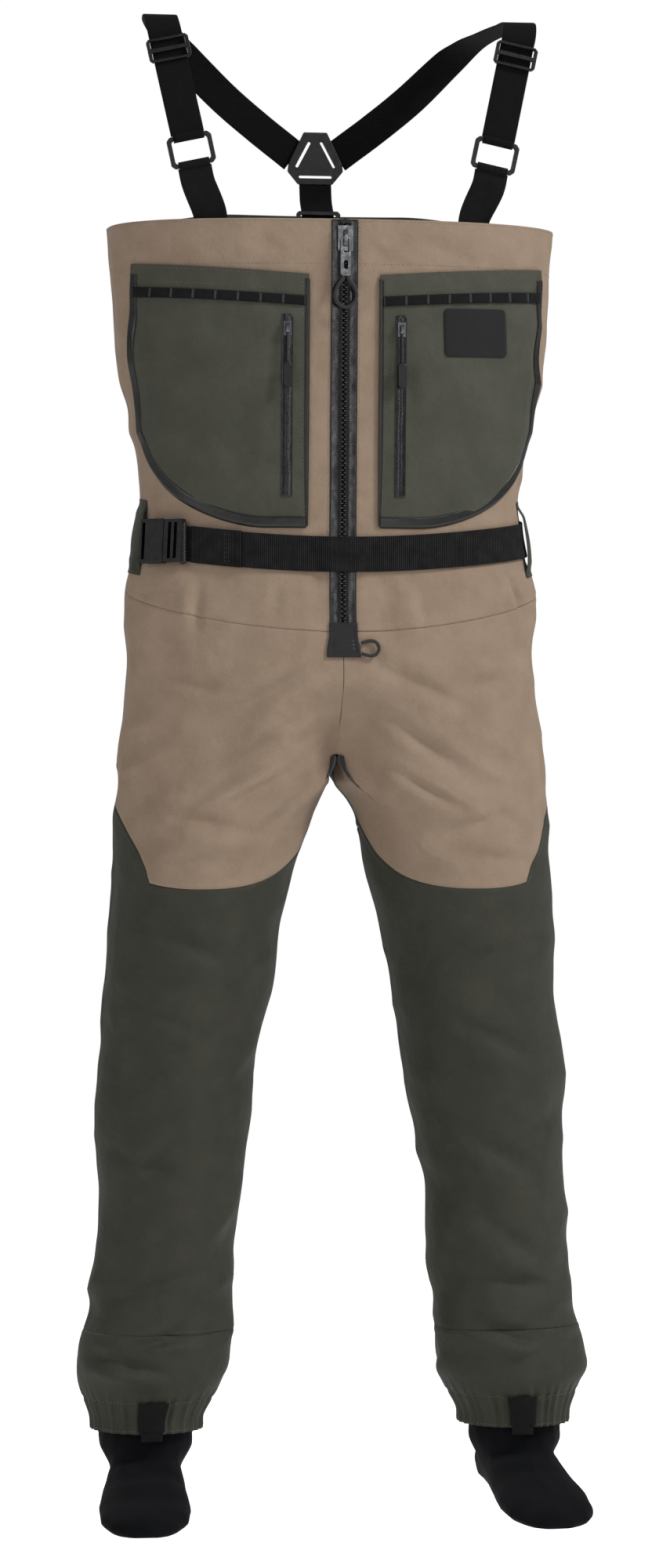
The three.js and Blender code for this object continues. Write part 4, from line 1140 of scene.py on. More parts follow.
def sew_leg(name, side, angle, z, **options):
    points, normals = leg_line(side, angle, z)
    stitches(name, points, normals, "garment", OLIVE_THREAD, "olive_shell", **options)


def sew_legs():
    front = np.linspace(-math.pi / 2 + 0.03, math.pi / 2 - 0.03, 240)
    whole = np.linspace(0.26, 2 * math.pi - 0.26, 400)
    down = np.linspace(0, 1, 400)
    for side in SIDES:
        sew_leg(f"stitch_thigh_{side}", side, front, thigh_edge(front) - 5, length=3.8)
        sew_leg(f"stitch_outseam_{side}", side, math.pi / 2 - 0.05 + 0 * down,
                CROTCH - 60 + (GUARD_TOP - CROTCH + 66) * down, length=3.8)
        sew_leg(f"stitch_guard_top_{side}", side, whole, GUARD_TOP - 5 + 0 * whole, length=3.8)
        sew_leg(f"stitch_hem_upper_{side}", side, whole, HEM + 35 + 0 * whole, width=0.9)
        sew_leg(f"stitch_hem_lower_{side}", side, whole, HEM + 3 + 0 * whole, width=0.9)


sew_bib()
sew_legs()


# ---------------------------------------------------------------- pockets

POCKET_TOP = BIB_TOP - 57
POCKET_FLOOR = POCKET_TOP - 301 + 14
POCKET_INNER, POCKET_WIDTH, POCKET_FLOOR_WIDTH, POCKET_SWEEP = 40.0, 206.0, 50.0, 125.0
POCKET_LOW, POCKET_HEM, POCKET_PEAK = 1.5, 2.6, 4.0
POCKET_RISE = POCKET_TOP - POCKET_FLOOR


def pocket_outer(z):
    depth = (POCKET_TOP + 10 - z) / (POCKET_TOP + 10 - POCKET_FLOOR)
    bow = 7 * np.sin(math.pi * np.clip(depth / 0.8, 0, 1))
    below = 1 - np.clip((z - POCKET_FLOOR) / POCKET_SWEEP, 0, 1)
    full = np.maximum(1 - below ** 2.2, 0) ** 0.62
    return (POCKET_INNER + POCKET_FLOOR_WIDTH
            + (POCKET_WIDTH - POCKET_FLOOR_WIDTH) * full + bow)


def pocket_place(u, v):
    """Distance round the chest and height of a place on the pocket"""
    first = POCKET_TOP - 5 + (POCKET_FLOOR - POCKET_TOP + 5) * v
    along = POCKET_INNER + (pocket_outer(first) - POCKET_INNER) * u
    return along, first + (1 - v) * 15 * u


def pocket_fill(u, v):
    margin = np.minimum(np.minimum(u, 1 - u), np.minimum(v, 1 - v) * 1.3)
    return ease(margin, 0, 0.16)


def pocket_wrinkles(points, u, v):
    """The bag's slack: soft puckers that run in from the tape"""
    spread_out = np.stack([points[..., 0] * 0.7, points[..., 1], points[..., 2] * 0.4], axis=-1)
    rumple = 4.2 * ridges(spread_out, 50) + 2.4 * noise(points, 62)
    edge = ease(np.minimum(np.minimum(u, 1 - u), np.minimum(v, 1 - v)), 0.02, 0.18)
    return edge * rumple


def pocket_surface(side, u, v, lift=0.0):
    """Points on the pocket's face and their normals, for either side"""
    along, z = pocket_place(u, v)
    sign = SIDES[side]
    points, normals = shell_at(sign * along, z)
    height = POCKET_HEM + (POCKET_PEAK - POCKET_HEM) * pocket_fill(u, v)
    zip_calm = ease(np.abs(along - POCKET_INNER - 24), 9, 26)
    height = height + zip_calm * pocket_wrinkles(points, u, v) + lift
    return points + normals * height[..., None], normals


def make_pocket(side):
    u = denser(110, EDGE / 2, 1 - EDGE / 2)[None, :]
    v = 1 - (1 - denser(130, EDGE / 2, 1 - EDGE / 2)[:, None]) ** 1.35
    u, v = np.broadcast_arrays(u, v)
    face, normals = pocket_surface(side, u, v)
    along, z = pocket_place(u, v)
    seat, _ = shell_at(SIDES[side] * along, z, POCKET_LOW)
    face, normals, seat = sided(side, face, normals, seat)
    thick = ((face - seat) * normals).sum(-1)
    obj = slab(f"pocket_bag_{side}", face, normals, -thick, 0)
    attach(obj, "garment", [POCKET, POCKET], [f"pocket_{side}"])
    return obj


def pocket_outline(steps=420):
    """The pocket's outer side and floor as one line of (u, v)"""
    outer = np.stack([np.ones(steps), np.linspace(0.035, 1, steps)], axis=1)
    bottom = np.stack([np.linspace(1, 0.01, 80), np.ones(80)], axis=1)[1:]
    return np.concatenate([outer, bottom])


def inset_line(line, distance):
    """A line in the flat (along, z) plane, moved towards the pocket's middle"""
    forward = np.gradient(line, axis=0)
    forward = forward / np.linalg.norm(forward, axis=1, keepdims=True)
    return line + np.stack([forward[:, 1], -forward[:, 0]], axis=1) * distance


def make_pocket_tape(side):
    """Seam tape over the pocket's outer side and floor, and a narrow binding on its inner side"""
    outline = pocket_outline()
    flat = np.stack(pocket_place(outline[:, 0], outline[:, 1]), axis=1)
    travelled = np.concatenate([[0], np.cumsum(np.linalg.norm(np.diff(flat, axis=0), axis=1))])
    even = np.linspace(0, travelled[-1], 300)
    flat = np.stack([np.interp(even, travelled, flat[:, n]) for n in range(2)], axis=1)
    kernel = np.hanning(15) / np.hanning(15).sum()
    padded_line = np.pad(flat, ((7, 7), (0, 0)), mode="edge")
    flat = np.stack([np.convolve(padded_line[:, n], kernel, "valid") for n in range(2)], axis=1)
    inward = np.linspace(-1.6, 11.0, 9)
    grid = np.stack([inset_line(flat, d) for d in inward], axis=1)
    lift = POCKET_HEM + 0.9 + 0.5 * np.sin(np.linspace(0, math.pi, 9)) ** 0.5
    lift = 1.0 + (lift - 1.0) * ease(inward, -1.6, 1.0) + 0.6 * ease(inward, 4, 11)
    points, normals = shell_at(SIDES[side] * grid[..., 0], grid[..., 1])
    points = points + normals * lift[None, :, None]
    tape = slab(f"pocket_tape_{side}", points, outward(points), -0.7, 0)
    attach(tape, "garment", [TAPE, TAPE])
    v = np.linspace(0.02, 0.995, 160)[:, None]
    u = np.linspace(-0.004, 0.02, 5)[None, :]
    u, v = np.broadcast_arrays(u, v)
    along, z = pocket_place(u, v)
    points, normals = shell_at(SIDES[side] * along, z, POCKET_HEM + 0.7 + 0.3 * np.sin(
        np.linspace(0, math.pi, 5))[None, :] + 0 * v)
    binding = slab(f"pocket_binding_{side}", points, outward(points), -0.9, 0)
    attach(binding, "garment", [TAPE, TAPE])


def sew_pocket(side):
    steps = np.linspace(0, 1, 200)
    lines_sewn = {
        "hem": (0.03 + 0.95 * steps, 0.012 + 0 * steps),
        "hem_lower": (0.03 + 0.94 * steps, 0.066 + 0 * steps),
        "inner": (0.03 + 0 * steps, 0.03 + 0.95 * steps),
    }
    for key, (u, v) in lines_sewn.items():
        points, normals = pocket_surface(side, u, v, ON_CLOTH)
        stitches(f"stitch_pocket_{key}_{side}", points, normals, "garment", OLIVE_THREAD,
                 "pocket_shell", width=0.6)


def strip_on_pocket(side, u, v, lift, thickness, name, materials, nodes=()):
    points, normals = sided(side, *pocket_surface(side, u, v, lift))
    return attach(slab(name, points, normals, 0, thickness), "garment", materials, nodes)


def pocket_shares(along, z):
    """The pocket's own coordinates at a distance round the chest and a height"""
    u, v = 0.5 + 0 * along, 0.3 + 0 * z
    for _ in range(12):
        first = z - (1 - v) * 15 * u
        v = (POCKET_TOP - 5 - first) / (POCKET_TOP - 5 - POCKET_FLOOR)
        u = (along - POCKET_INNER) / (pocket_outer(first) - POCKET_INNER)
    return u, v


def make_fly_patch():
    """Loop tape for hanging flies: napped face, heat-cut edge, four round corners"""
    rows = np.concatenate([np.linspace(0, 5, 7), np.linspace(8, 46, 12), np.linspace(49, 54, 7)])
    into = np.clip(5 - np.minimum(rows, 54 - rows), 0, 5)
    half = (38.5 - 5 + np.sqrt(25 - into ** 2))[:, None]
    across = np.concatenate([[-1, -0.985, -0.96], np.linspace(-0.9, 0.9, 26),
                             [0.96, 0.985, 1]])[None, :]
    tilt = math.radians(1.5)
    x, y = half * across, (27 - rows)[:, None] + 0 * across
    along = 152 + x * math.cos(tilt) - y * math.sin(tilt)
    z = BIB_TOP - 124 + y * math.cos(tilt) + x * math.sin(tilt)
    rim = np.minimum(np.minimum(1 - np.abs(across), 0.05) * 20, 1) * np.minimum(
        np.minimum(rows, 54 - rows)[:, None] / 1.2, 1)
    u, v = pocket_shares(along, z)
    strip_on_pocket("left", u, v, 0.25, 0.7 + 0.9 * rim, "fly_patch_loop_tape",
                    [LOOP_TAPE, LOOP_TAPE], ["fly_patch"])


def make_daisy(side):
    """A narrow tape across the pocket's top, tacked down every 25 mm so that it stands in loops"""
    first = 25 / POCKET_RISE
    u = np.linspace(0.02, 0.975, 220)[None, :]
    v = (first + 11 / POCKET_RISE * np.linspace(0, 1, 5))[:, None]
    u, v = np.broadcast_arrays(u, v)
    tacks = np.abs(np.sin(u * math.pi * 8))
    lift = 0.45 + 1.0 * tacks ** 0.6
    strip_on_pocket(side, u, v, lift, 0.8, f"daisy_tape_{side}", [DAISY_WEB, DAISY_WEB],
                    [f"pocket_daisy_{side}"])
    for k in range(9):
        centre = 0.02 + 0.955 * k / 8
        width = 0.007
        tack_u = np.linspace(max(centre - width, 0.02), min(centre + width, 0.975), 4)[None, :]
        tack_v = (first + 11 / POCKET_RISE * np.linspace(0.06, 0.94, 12))[:, None]
        tack_u, tack_v = np.broadcast_arrays(tack_u, tack_v)
        zigzag = 0.2 + 0.25 * (np.arange(12) % 2)[:, None] + 0 * tack_u
        strip_on_pocket(side, tack_u, tack_v, 1.2 + zigzag, 0.5, f"bar_tack_{k}_{side}",
                        [BLACK_THREAD, BLACK_THREAD])


def pocket_across(distance, v):
    z = POCKET_TOP - 5 + (POCKET_FLOOR - POCKET_TOP + 5) * v
    return distance / (pocket_outer(z) - POCKET_INNER)


def make_pocket_zip(side):
    """A coil zip under two coated lips that meet over it"""
    upper = 42 / POCKET_RISE + 0.02
    v = (upper + 205 / POCKET_RISE * np.linspace(0, 1, 120))[:, None]
    offsets = np.array([-6, -5.6, -4.6, -3, -1.2, -0.35, 0, 0.35, 1.2, 3, 4.6, 5.6, 6])[None, :]
    heights = np.array([0.3, 0.75, 0.9, 1.0, 1.2, 1.05, 0.55, 1.05, 1.2, 1.0, 0.9, 0.75, 0.3])
    v, offsets = np.broadcast_arrays(v, offsets)
    u = pocket_across(24 + offsets, v)
    strip_on_pocket(side, u, v, 0.35 + heights[None, :] - 0.8, 0.8, f"pocket_zip_lips_{side}",
                    [ZIP_TAPE, ZIP_TAPE], [f"pocket_zip_{side}"])
    for sign in (-1, 1):
        down = v[:, 0]
        points, normals = pocket_surface(side, pocket_across(24 + sign * 5.2, down), down, 0.95)
        stitches(f"stitch_pocket_zip_{'outer' if sign > 0 else 'inner'}_{side}", points, normals,
                 "garment", BLACK_THREAD, "coated_tape", width=0.6)


for side in SIDES:
    make_pocket(side)
    make_pocket_tape(side)
    sew_pocket(side)
    make_daisy(side)
    make_pocket_zip(side)
make_fly_patch()


# ---------------------------------------------------------------- front zip

ZIP_FOOT = WAIST - 116
TEETH_FOOT = ZIP_FOOT + 40
TEETH_LOW, TEETH_HEIGHT = 1.6, 2.8


def make_zip_tapes():
    """Coated tape beside the teeth, thicker where the teeth bite and at its sealed outer edge"""
    offsets = np.array([0.35, 1.0, 2.6, 4.2, 5.0, 6.5, 9, 12, 13.6, 14.6, 15.2])
    heights = np.array([0.7, 1.2, 1.4, 1.3, 0.9, 0.8, 0.8, 0.8, 0.95, 0.9, 0.35])
    z = np.linspace(BIB_TOP - 1, ZIP_FOOT + 1, 240)[:, None]
    for side, sign in SIDES.items():
        points, normals = shell_at(sign * offsets[None, :] + 0 * z, z + 0 * offsets[None, :], 0.25)
        high = np.broadcast_to(heights[None, :], points.shape[:2])
        points, normals, high = sided(side, points, normals, high)
        tape = slab(f"zip_tape_coated_{side}", points, normals, 0, high)
        attach(tape, "garment", [ZIP_TAPE, ZIP_TAPE], [f"zip_tape_{side}"])


def make_zip_teeth():
    """Moulded teeth, alternating across the middle, 5.3 mm apart on each side"""
    pitch = 2.65
    z = np.arange(BIB_TOP - 5, TEETH_FOOT + 2, -pitch)
    hand = np.where(np.arange(len(z)) % 2, 1, -1)
    place, out = shell_at(0 * z, z, 0.2)
    aside = unit(trunk(0 * z + 0.5, z) - trunk(0 * z - 0.5, z))
    upward = np.cross(out, aside)
    # each ring of a tooth: its inner and outer reach, half its height along the chain, its lift
    rings = [(0.2, 3.9, 2.0, 0.0), (0.3, 3.95, 2.0, 1.3), (0.5, 3.9, 1.7, 2.3),
             (0.9, 3.2, 1.0, 2.9)]
    corners = []
    for inner, outer, half, height in rings:
        root, narrow = inner - 0.9, half * 0.6
        for x, y in ((root, -narrow), (outer, -half), (outer, half), (root, narrow)):
            corners.append((x, y, height + TEETH_LOW - 0.4))
    corners = np.array(corners)
    handed = np.stack([hand, np.ones(len(z)), np.ones(len(z))], axis=1)
    local = corners[None, :, :] * handed[:, None, :]
    points = (place[:, None, :] + aside[:, None, :] * local[..., :1]
              + upward[:, None, :] * local[..., 1:2] + out[:, None, :] * local[..., 2:])
    shape = [(3, 2, 1, 0), (12, 13, 14, 15)]
    for k in range(3):
        for n in range(4):
            m = (n + 1) % 4
            shape.append((4 * k + n, 4 * k + m, 4 * k + 4 + m, 4 * k + 4 + n))
    faces = []
    for k in range(len(z)):
        for face in shape:
            ordered = face if hand[k] > 0 else face[::-1]
            faces.append([16 * k + v for v in ordered])
    teeth = mesh_object("zip_teeth_moulded", points.reshape(-1, 3), faces)
    smooth_by_angle(teeth, 40)
    attach(teeth, "garment", [TEETH], ["zip_teeth"])


def make_zip_foot():
    """The dock at the foot of the zip: a moulded apron with a rolled rim and three grip ribs"""
    v = np.linspace(0, 1, 60)[:, None]
    u = np.linspace(-1, 1, 49)[None, :]
    spread_at = 16 + 3 * ease(v, 0.3, 0.9)
    z = TEETH_FOOT - 1 + (ZIP_FOOT - TEETH_FOOT + 1) * v
    points, normals = shell_at(spread_at * u, z + 0 * u, TEETH_LOW)
    rim = np.minimum(np.minimum(1 - np.abs(u), v * 2), (1 - v) * 2)
    height = 1.2 + 0.8 * ease(rim, 0, 0.1) - 0.45 * ease(rim, 0.12, 0.2)
    for centre in (0.55, 0.66, 0.77):
        rib = 0.9 * np.exp(-((v - centre) / 0.028) ** 2)
        height = height + rib * ease(1 - np.abs(u), 0.3, 0.45)
    obj = slab("zip_foot_apron", points, normals, 0, height)
    attach(obj, "garment", [RUBBER, RUBBER], ["zip_base"])
    steps = np.linspace(0, 1, 120)
    for side, sign in SIDES.items():
        edge_z = TEETH_FOOT - 3 + (ZIP_FOOT + 4 - TEETH_FOOT) * steps
        edge = sign * (13.2 + 3 * ease(steps, 0.3, 0.9))
        line, up = shell_at(edge, edge_z, TEETH_LOW + 2.0)
        stitches(f"stitch_zip_foot_{side}", line, up, "garment", BLACK_THREAD, "coated_tape")


def make_zip_head():
    """Cap that covers the top ends of the tape"""
    v = np.linspace(0, 1, 14)[:, None]
    u = np.linspace(-1, 1, 27)[None, :]
    points, normals = shell_at(7.5 * u * (0.8 + 0.2 * v), BIB_TOP - 0.6 - 5.8 * v + 0 * u, 1.4)
    rim = np.minimum(1 - np.abs(u), np.minimum(v, 1 - v) * 2)
    obj = slab("zip_head_cap", points, normals, 0, 1.0 + 2.0 * ease(rim, 0, 0.4))
    attach(obj, "garment", [RUBBER, RUBBER])


make_zip_tapes()
make_zip_teeth()
make_zip_foot()
make_zip_head()


# ---------------------------------------------------------------- belt

def belt_z(along):
    return belt_height(np.abs(along) / half_round(WAIST))


def belt_low(along):
    return 1.7 + (TEETH_LOW + TEETH_HEIGHT) * ease(-np.abs(along), -34, -14)


BELT_WIDTH, BELT_THICK = 40.0, 1.8
BELT_EDGE = np.array([0, 0.4, 1.2])
BELT_ACROSS = np.concatenate([BELT_EDGE, np.linspace(3, 37, 13),
                              BELT_WIDTH - BELT_EDGE[::-1]]) / BELT_WIDTH
SELVEDGE = np.interp(BELT_ACROSS, [0, 0.03, 0.97, 1], [0.5, 0, 0, 0.5])
BELT_END = float(side_seam(WAIST + BELT_RISE))
BELT_START = -204.0


def belt_strip(name, along, z, low, thickness, nodes, height=BELT_WIDTH):
    """rows run along the belt, columns from its upper to its lower edge"""
    share = BELT_ACROSS[None, :]
    heights = z + height * (0.5 - share)
    points, normals = shell_at(along + 0 * share, heights, low)
    obj = slab(name, points, normals, SELVEDGE[None, :] * 0.5, thickness - SELVEDGE[None, :] * 0.5)
    return attach(obj, "garment", [BELT_WEB, BELT_WEB], nodes)


def make_belt():
    along = np.linspace(BELT_START, BELT_END, 420)[:, None]
    belt_strip("belt_web_front", along, belt_z(along), belt_low(along), BELT_THICK,
               ["belt_front"])
    tail = np.linspace(-170, -114, 70)[:, None]
    folded_back = 1.5 * ease(tail, -124, -117)
    belt_strip("belt_web_tail", tail, belt_z(tail), belt_low(tail) + 2.1,
               BELT_THICK + folded_back, ["belt_tail"], height=41.5)
    steps = np.linspace(0, 1, 420)[:, None]
    z = belt_z(BELT_END + (2 * half_round(WAIST) + BELT_START - BELT_END) * steps)
    far = 2 * half_round(z + BELT_WIDTH * (0.5 - BELT_ACROSS)) + BELT_START - NEAR
    place = BELT_END + NEAR + (far - BELT_END - NEAR) * steps
    belt_strip("belt_web_back", place, z, 1.7, BELT_THICK, ["belt_back"])
    rows = np.linspace(-17, 17, 60)
    for k, place in enumerate((-128.0, -132.0)):
        at = np.full(rows.shape, place)
        points, up = shell_at(at, belt_z(at) + rows, belt_low(at) + 3.9 + 0.2)
        stitches(f"stitch_belt_tail_{k}", points, up, "garment", BLACK_THREAD, "webbing")


def make_belt_loop(side):
    """A cloth tunnel that stands off the belt between its two sewn ends"""
    v = np.linspace(0, 1, 90)[:, None]
    u = np.linspace(0, 1, 22)[None, :]
    along = 238 + 26 * u + 3 * np.sin(math.pi * v) * (u - 0.5)
    z = belt_z(along) + 86 * (0.5 - v)
    stand = 4.6 + (0.9 - 4.6) * ease(np.abs(v - 0.5), 0.3, 0.46)
    stand = stand + 5.0 * np.sin(math.pi * v) ** 1.6 * (0.75 + 0.35 * u)
    points, = sided(side, shell_at(SIDES[side] * along, z, stand)[0])
    edge = np.interp(u, [0, 0.06, 0.94, 1], [0.2, 0.9, 0.9, 0.2])
    obj = slab(f"belt_loop_cloth_{side}", points, outward(points), -0.5 - edge * 0.3, edge * 0.5)
    attach(obj, "garment", [OLIVE, OLIVE], [f"belt_loop_{side}"])
    for end in (0.035, 0.965):
        across = np.linspace(0.08, 0.92, 30)
        at = 238 + 26 * across
        line, up = shell_at(SIDES[side] * at, belt_z(at) + 86 * (0.5 - end), 1.5)
        name = "upper" if end < 0.5 else "lower"
        stitches(f"stitch_loop_{name}_{side}", line, up, "garment", OLIVE_THREAD, "olive_shell")


def make_buckle_grip():
    """The plug's webbing bar: a fat round bar with fine ribs, where the belt is threaded"""
    place, out = shell_at(-178.0, belt_z(178.0), 9.3)
    upward = unit(shell_at(-178.0, belt_z(178.0) + 1, 9.3)[0] - place)
    aside = np.cross(upward, out)
    rows = np.linspace(-23.5, 23.5, 190)
    ribs = 3.9 + 0.35 * np.sin(rows / 1.35 * math.pi)
    ribs = ribs * np.sqrt(np.clip(1 - (np.abs(rows) / 24.2) ** 24, 0.02, 1))
    turns = np.linspace(0, 2 * math.pi, 20, endpoint=False)
    ring = np.stack([np.cos(turns), np.sin(turns)], axis=1)
    points = (place + upward * rows[:, None, None]
              + aside * (ribs[:, None] * ring[None, :, 0])[..., None]
              + out * (ribs[:, None] * ring[None, :, 1])[..., None])
    count = len(turns)
    faces = [(k * count + n, k * count + (n + 1) % count, (k + 1) * count + (n + 1) % count,
              (k + 1) * count + n) for k in range(len(rows) - 1) for n in range(count)]
    faces += [tuple(range(count))[::-1], tuple((len(rows) - 1) * count + n for n in range(count))]
    bar = mesh_object("buckle_ribbed_bar", points.reshape(-1, 3), faces)
    face_outward(bar)
    attach(bar, "buckle_plug", [PLASTIC])


make_belt()
for side in SIDES:
    make_belt_loop(side)
make_buckle_grip()


# ---------------------------------------------------------------- suspenders

def curve(points, steps=24):
    """A smooth curve through points, even between each two of them (centripetal)"""
    given = [np.asarray(p, float) for p in points]
    ends = [2 * given[0] - given[1], *given, 2 * given[-1] - given[-2]]
    fine = []
    for a, b, c, d in zip(ends, ends[1:], ends[2:], ends[3:]):
        gaps = [max(np.linalg.norm(q - p), 1e-6) ** 0.5 for p, q in ((a, b), (b, c), (c, d))]
        leave = (b - a) / gaps[0] - (c - a) / (gaps[0] + gaps[1]) + (c - b) / gaps[1]
        arrive = (c - b) / gaps[1] - (d - b) / (gaps[1] + gaps[2]) + (d - c) / gaps[2]
        leave, arrive = leave * gaps[1], arrive * gaps[1]
        fine += [hermite(b, c, leave, arrive, t)
                 for t in np.linspace(0, 1, steps, endpoint=False)]
    fine.append(given[-1])
    return np.array(fine)


def band(name, points, faces, width, thickness, materials, body, nodes, rows, side="left"):
    """A flat strap along a curve; its edges are a little thinner than its middle"""
    path, faced = curve(points), curve(faces)
    travelled = lengths_along(path, 0)
    even = np.linspace(0, travelled[-1], rows)
    path = np.stack([np.interp(even, travelled, path[:, n]) for n in range(3)], axis=1)
    faced = np.stack([np.interp(even, travelled, faced[:, n]) for n in range(3)], axis=1)
    tangent = unit(np.gradient(path, axis=0))
    across = unit(np.cross(tangent, faced))
    up = unit(np.cross(across, tangent))
    share = np.concatenate([[0, 0.012, 0.035], np.linspace(0.09, 0.91, 9), [0.965, 0.988, 1]])
    grid = path[:, None, :] + across[:, None, :] * ((share - 0.5) * width)[None, :, None]
    normals = np.broadcast_to(up[:, None, :], grid.shape)
    if side == "right":
        grid, normals = mirrored(grid), normals[:, ::-1] * np.array([-1.0, 1, 1])
    half = thickness / 2 * np.interp(share, [0, 0.03, 0.97, 1], [0.45, 1, 1, 0.45])[None, :]
    return attach(slab(name, grid, normals, -half, half), body, materials, nodes)


STRAP_AT_BIB, STRAP_WIDTH, STRAP_THICK = 152.0, 38.0, 1.8
STRAP_FRONT = front_at(0)
RING_AT = np.array([STRAP_AT_BIB + 20, STRAP_FRONT + 10, BIB_TOP + 75])
SHOULDER = np.array([202, STRAP_FRONT + 22, -8.0])
STRAP_LEAN = math.atan2(SHOULDER[0] - RING_AT[0], SHOULDER[2] - RING_AT[2])
OFF_BAR = 18.8
YOKE_AT = np.array([0, 142, -117.0])
INSIDE = WALL + NEAR + 0.9 + 1.2


def make_straps(side):
    upward = np.array([math.sin(STRAP_LEAN), 0, math.cos(STRAP_LEAN)])
    below = RING_AT - upward * OFF_BAR
    frames = [shell_at(STRAP_AT_BIB, BIB_TOP + h, -INSIDE) for h in (-42, -14, 4)]
    points = [p for p, _ in frames] + [below * 1.9 - RING_AT * 0.9, below]
    faces = [n for _, n in frames] + [(0, -1, 0), (0, -1, 0)]
    band(f"strap_webbing_{side}", points, faces, STRAP_WIDTH, STRAP_THICK,
         [STRAP_WEB, STRAP_WEB], "garment", [f"strap_web_{side}"], 70, side)
    reach = SHOULDER - RING_AT
    start = RING_AT + reach * OFF_BAR / np.linalg.norm(reach)
    points = [start, *(RING_AT + reach * s for s in (0.3, 0.5, 0.7, 0.9, 1)),
              (204, SHOULDER[1] + 12, 6), (202, -40, 12), (192, 30, 15), (177, 95, 13),
              (158, 127, -2), (110, 137, -48), (66, 141, -84), YOKE_AT + (38, 2.0, 12.0),
              YOKE_AT + (25, 3.7, 2.2)]
    faces = [(0, -1, lift) for lift in (0, 0, 0, 0, 0, 0.2)] + [
        (0, -0.6, 0.8), (0, 0, 1), (0, 0, 1), (0, 0.3, 0.95), (0, 0.8, 0.6), (0, 1, 0.1),
        (0, 1, 0), (0, 1, 0), (0, 1, 0)]
    band(f"strap_elastic_{side}", points, faces, STRAP_WIDTH, STRAP_THICK,
         [ELASTIC, ELASTIC], "garment", [f"strap_{side}"], 300, side)


def make_ring_wraps(side):
    """The straps' sewn ends, folded round the ring's upper and lower bars"""
    upward = np.array([math.sin(STRAP_LEAN), 0, math.cos(STRAP_LEAN)])
    aside = np.array([math.cos(STRAP_LEAN), 0, -math.sin(STRAP_LEAN)])
    front = np.array([0, -1.0, 0])
    turns = np.linspace(-0.62 * math.pi, 0.62 * math.pi, 26)[:, None]
    for name, sign, fabric, slot in (("upper", 1, ELASTIC, "elastic"),
                                     ("lower", -1, STRAP_WEB, "webbing")):
        centre = RING_AT + upward * sign * 15.5
        route = centre + front * 3.68 * np.cos(turns) + upward * 4.095 * np.sin(turns)
        across = np.linspace(-17.5, 17.5, 9)
        grid = route[:, None, :] + aside[None, None, :] * across[None, :, None]
        if side == "right":
            grid = mirrored(grid)
        normals = grid_normals(grid)
        heart = centre * (SIDES[side], 1, 1)
        if ((grid - heart) * normals).sum() < 0:
            normals = -normals
        obj = slab(f"ring_wrap_{name}_{side}", grid, normals, -0.5, 0.6)
        attach(obj, "garment", [fabric, fabric])


def make_back_strap():
    inner = float(trunk(half_round(BIB_TOP), BIB_TOP)[1]) - INSIDE
    points = [(0, YOKE_AT[1], YOKE_AT[2] - 30.8), (0, YOKE_AT[1] - 6, -168),
              (0, inner + 0.6, BIB_TOP + BACK_RAISE), (0, inner, BIB_TOP + 10),
              (0, inner - 1, BIB_TOP - 24)]
    band("back_strap_elastic", points, [(0, 1, 0)] * 5, STRAP_WIDTH, STRAP_THICK,
         [ELASTIC, ELASTIC], "garment", ["back_strap"], 90)


for side in SIDES:
    make_straps(side)
    make_ring_wraps(side)
make_back_strap()


# ---------------------------------------------------------------- guards' tabs and feet

def make_guard_hook(side):
    """A webbing tab over the guard's hem, and under it the flap that holds the lace hook"""
    turn = 28 / 128
    for name, half, top, low, lift, nodes in (
            ("tab", turn, HEM + 37, HEM + 3, 1.9, [f"guard_hook_{side}"]),
            ("flap", turn * 0.86, HEM + 14, HEM - 8, 0.6, [])):
        v = np.linspace(0, 1, 40)[:, None]
        u = np.linspace(-1, 1, 26)[None, :]
        height = top + (low - top) * v + 0 * u
        points = leg(half * u + 0 * v, np.maximum(height, HEM))
        points[..., 2] = height
        if side == "right":
            points = mirrored(points)
        edge = np.interp(np.abs(u), [0, 0.9, 1], [1, 1, 0.5]) + 0 * v
        sag = 1.2 * np.sin(math.pi * v) * np.cos(u * 1.4)
        normals = outward(points, about=leg_centre(side))
        cloth = np.maximum(folds(points), 0) + 1.4 * ease(points[..., 2], HEM - 2, HEM + 8)
        raised = points + normals * (lift + sag + cloth)[..., None]
        obj = slab(f"guard_{name}_{side}", raised, outward(raised, about=leg_centre(side)),
                   -0.4 * edge, 1.0 * edge)
        attach(obj, f"guard_hook_{side}", [DAISY_WEB, DAISY_WEB], nodes)


def copy_of(names, name):
    """One new mesh from copies of CAD nodes, with their doubles merged"""
    joined = bmesh.new()
    for one in names:
        joined.from_mesh(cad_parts[one].data)
    bmesh.ops.remove_doubles(joined, verts=joined.verts, dist=1e-6)
    data = bpy.data.meshes.new(name)
    joined.to_mesh(data)
    joined.free()
    obj = bpy.data.objects.new(name, data)
    bpy.context.scene.collection.objects.link(obj)
    return obj


def apply_modifier(obj, kind, **settings):
    activate(obj)
    modifier = obj.modifiers.new(kind, kind)
    for key, value in settings.items():
        setattr(modifier, key, value)
    bpy.ops.object.modifier_apply(modifier=modifier.name)


FOOT_PITCH, TOE_OUT, STANCE = math.radians(5), math.radians(5), 214.0


def foot_frame(points, side):
    """Points in mm in the foot's own frame: ankle at the origin, toes along -Y"""
    local = (points - np.array([SIDES[side] * STANCE, 0, ANKLE])) * (SIDES[side], 1, 1)
    c, s = math.cos(-TOE_OUT), math.sin(-TOE_OUT)
    x, y = local[:, 0] * c - local[:, 1] * s, local[:, 0] * s + local[:, 1] * c
    c, s = math.cos(-FOOT_PITCH), math.sin(-FOOT_PITCH)
    return np.stack([x, y * c - local[:, 2] * s, y * s + local[:, 2] * c], axis=1)


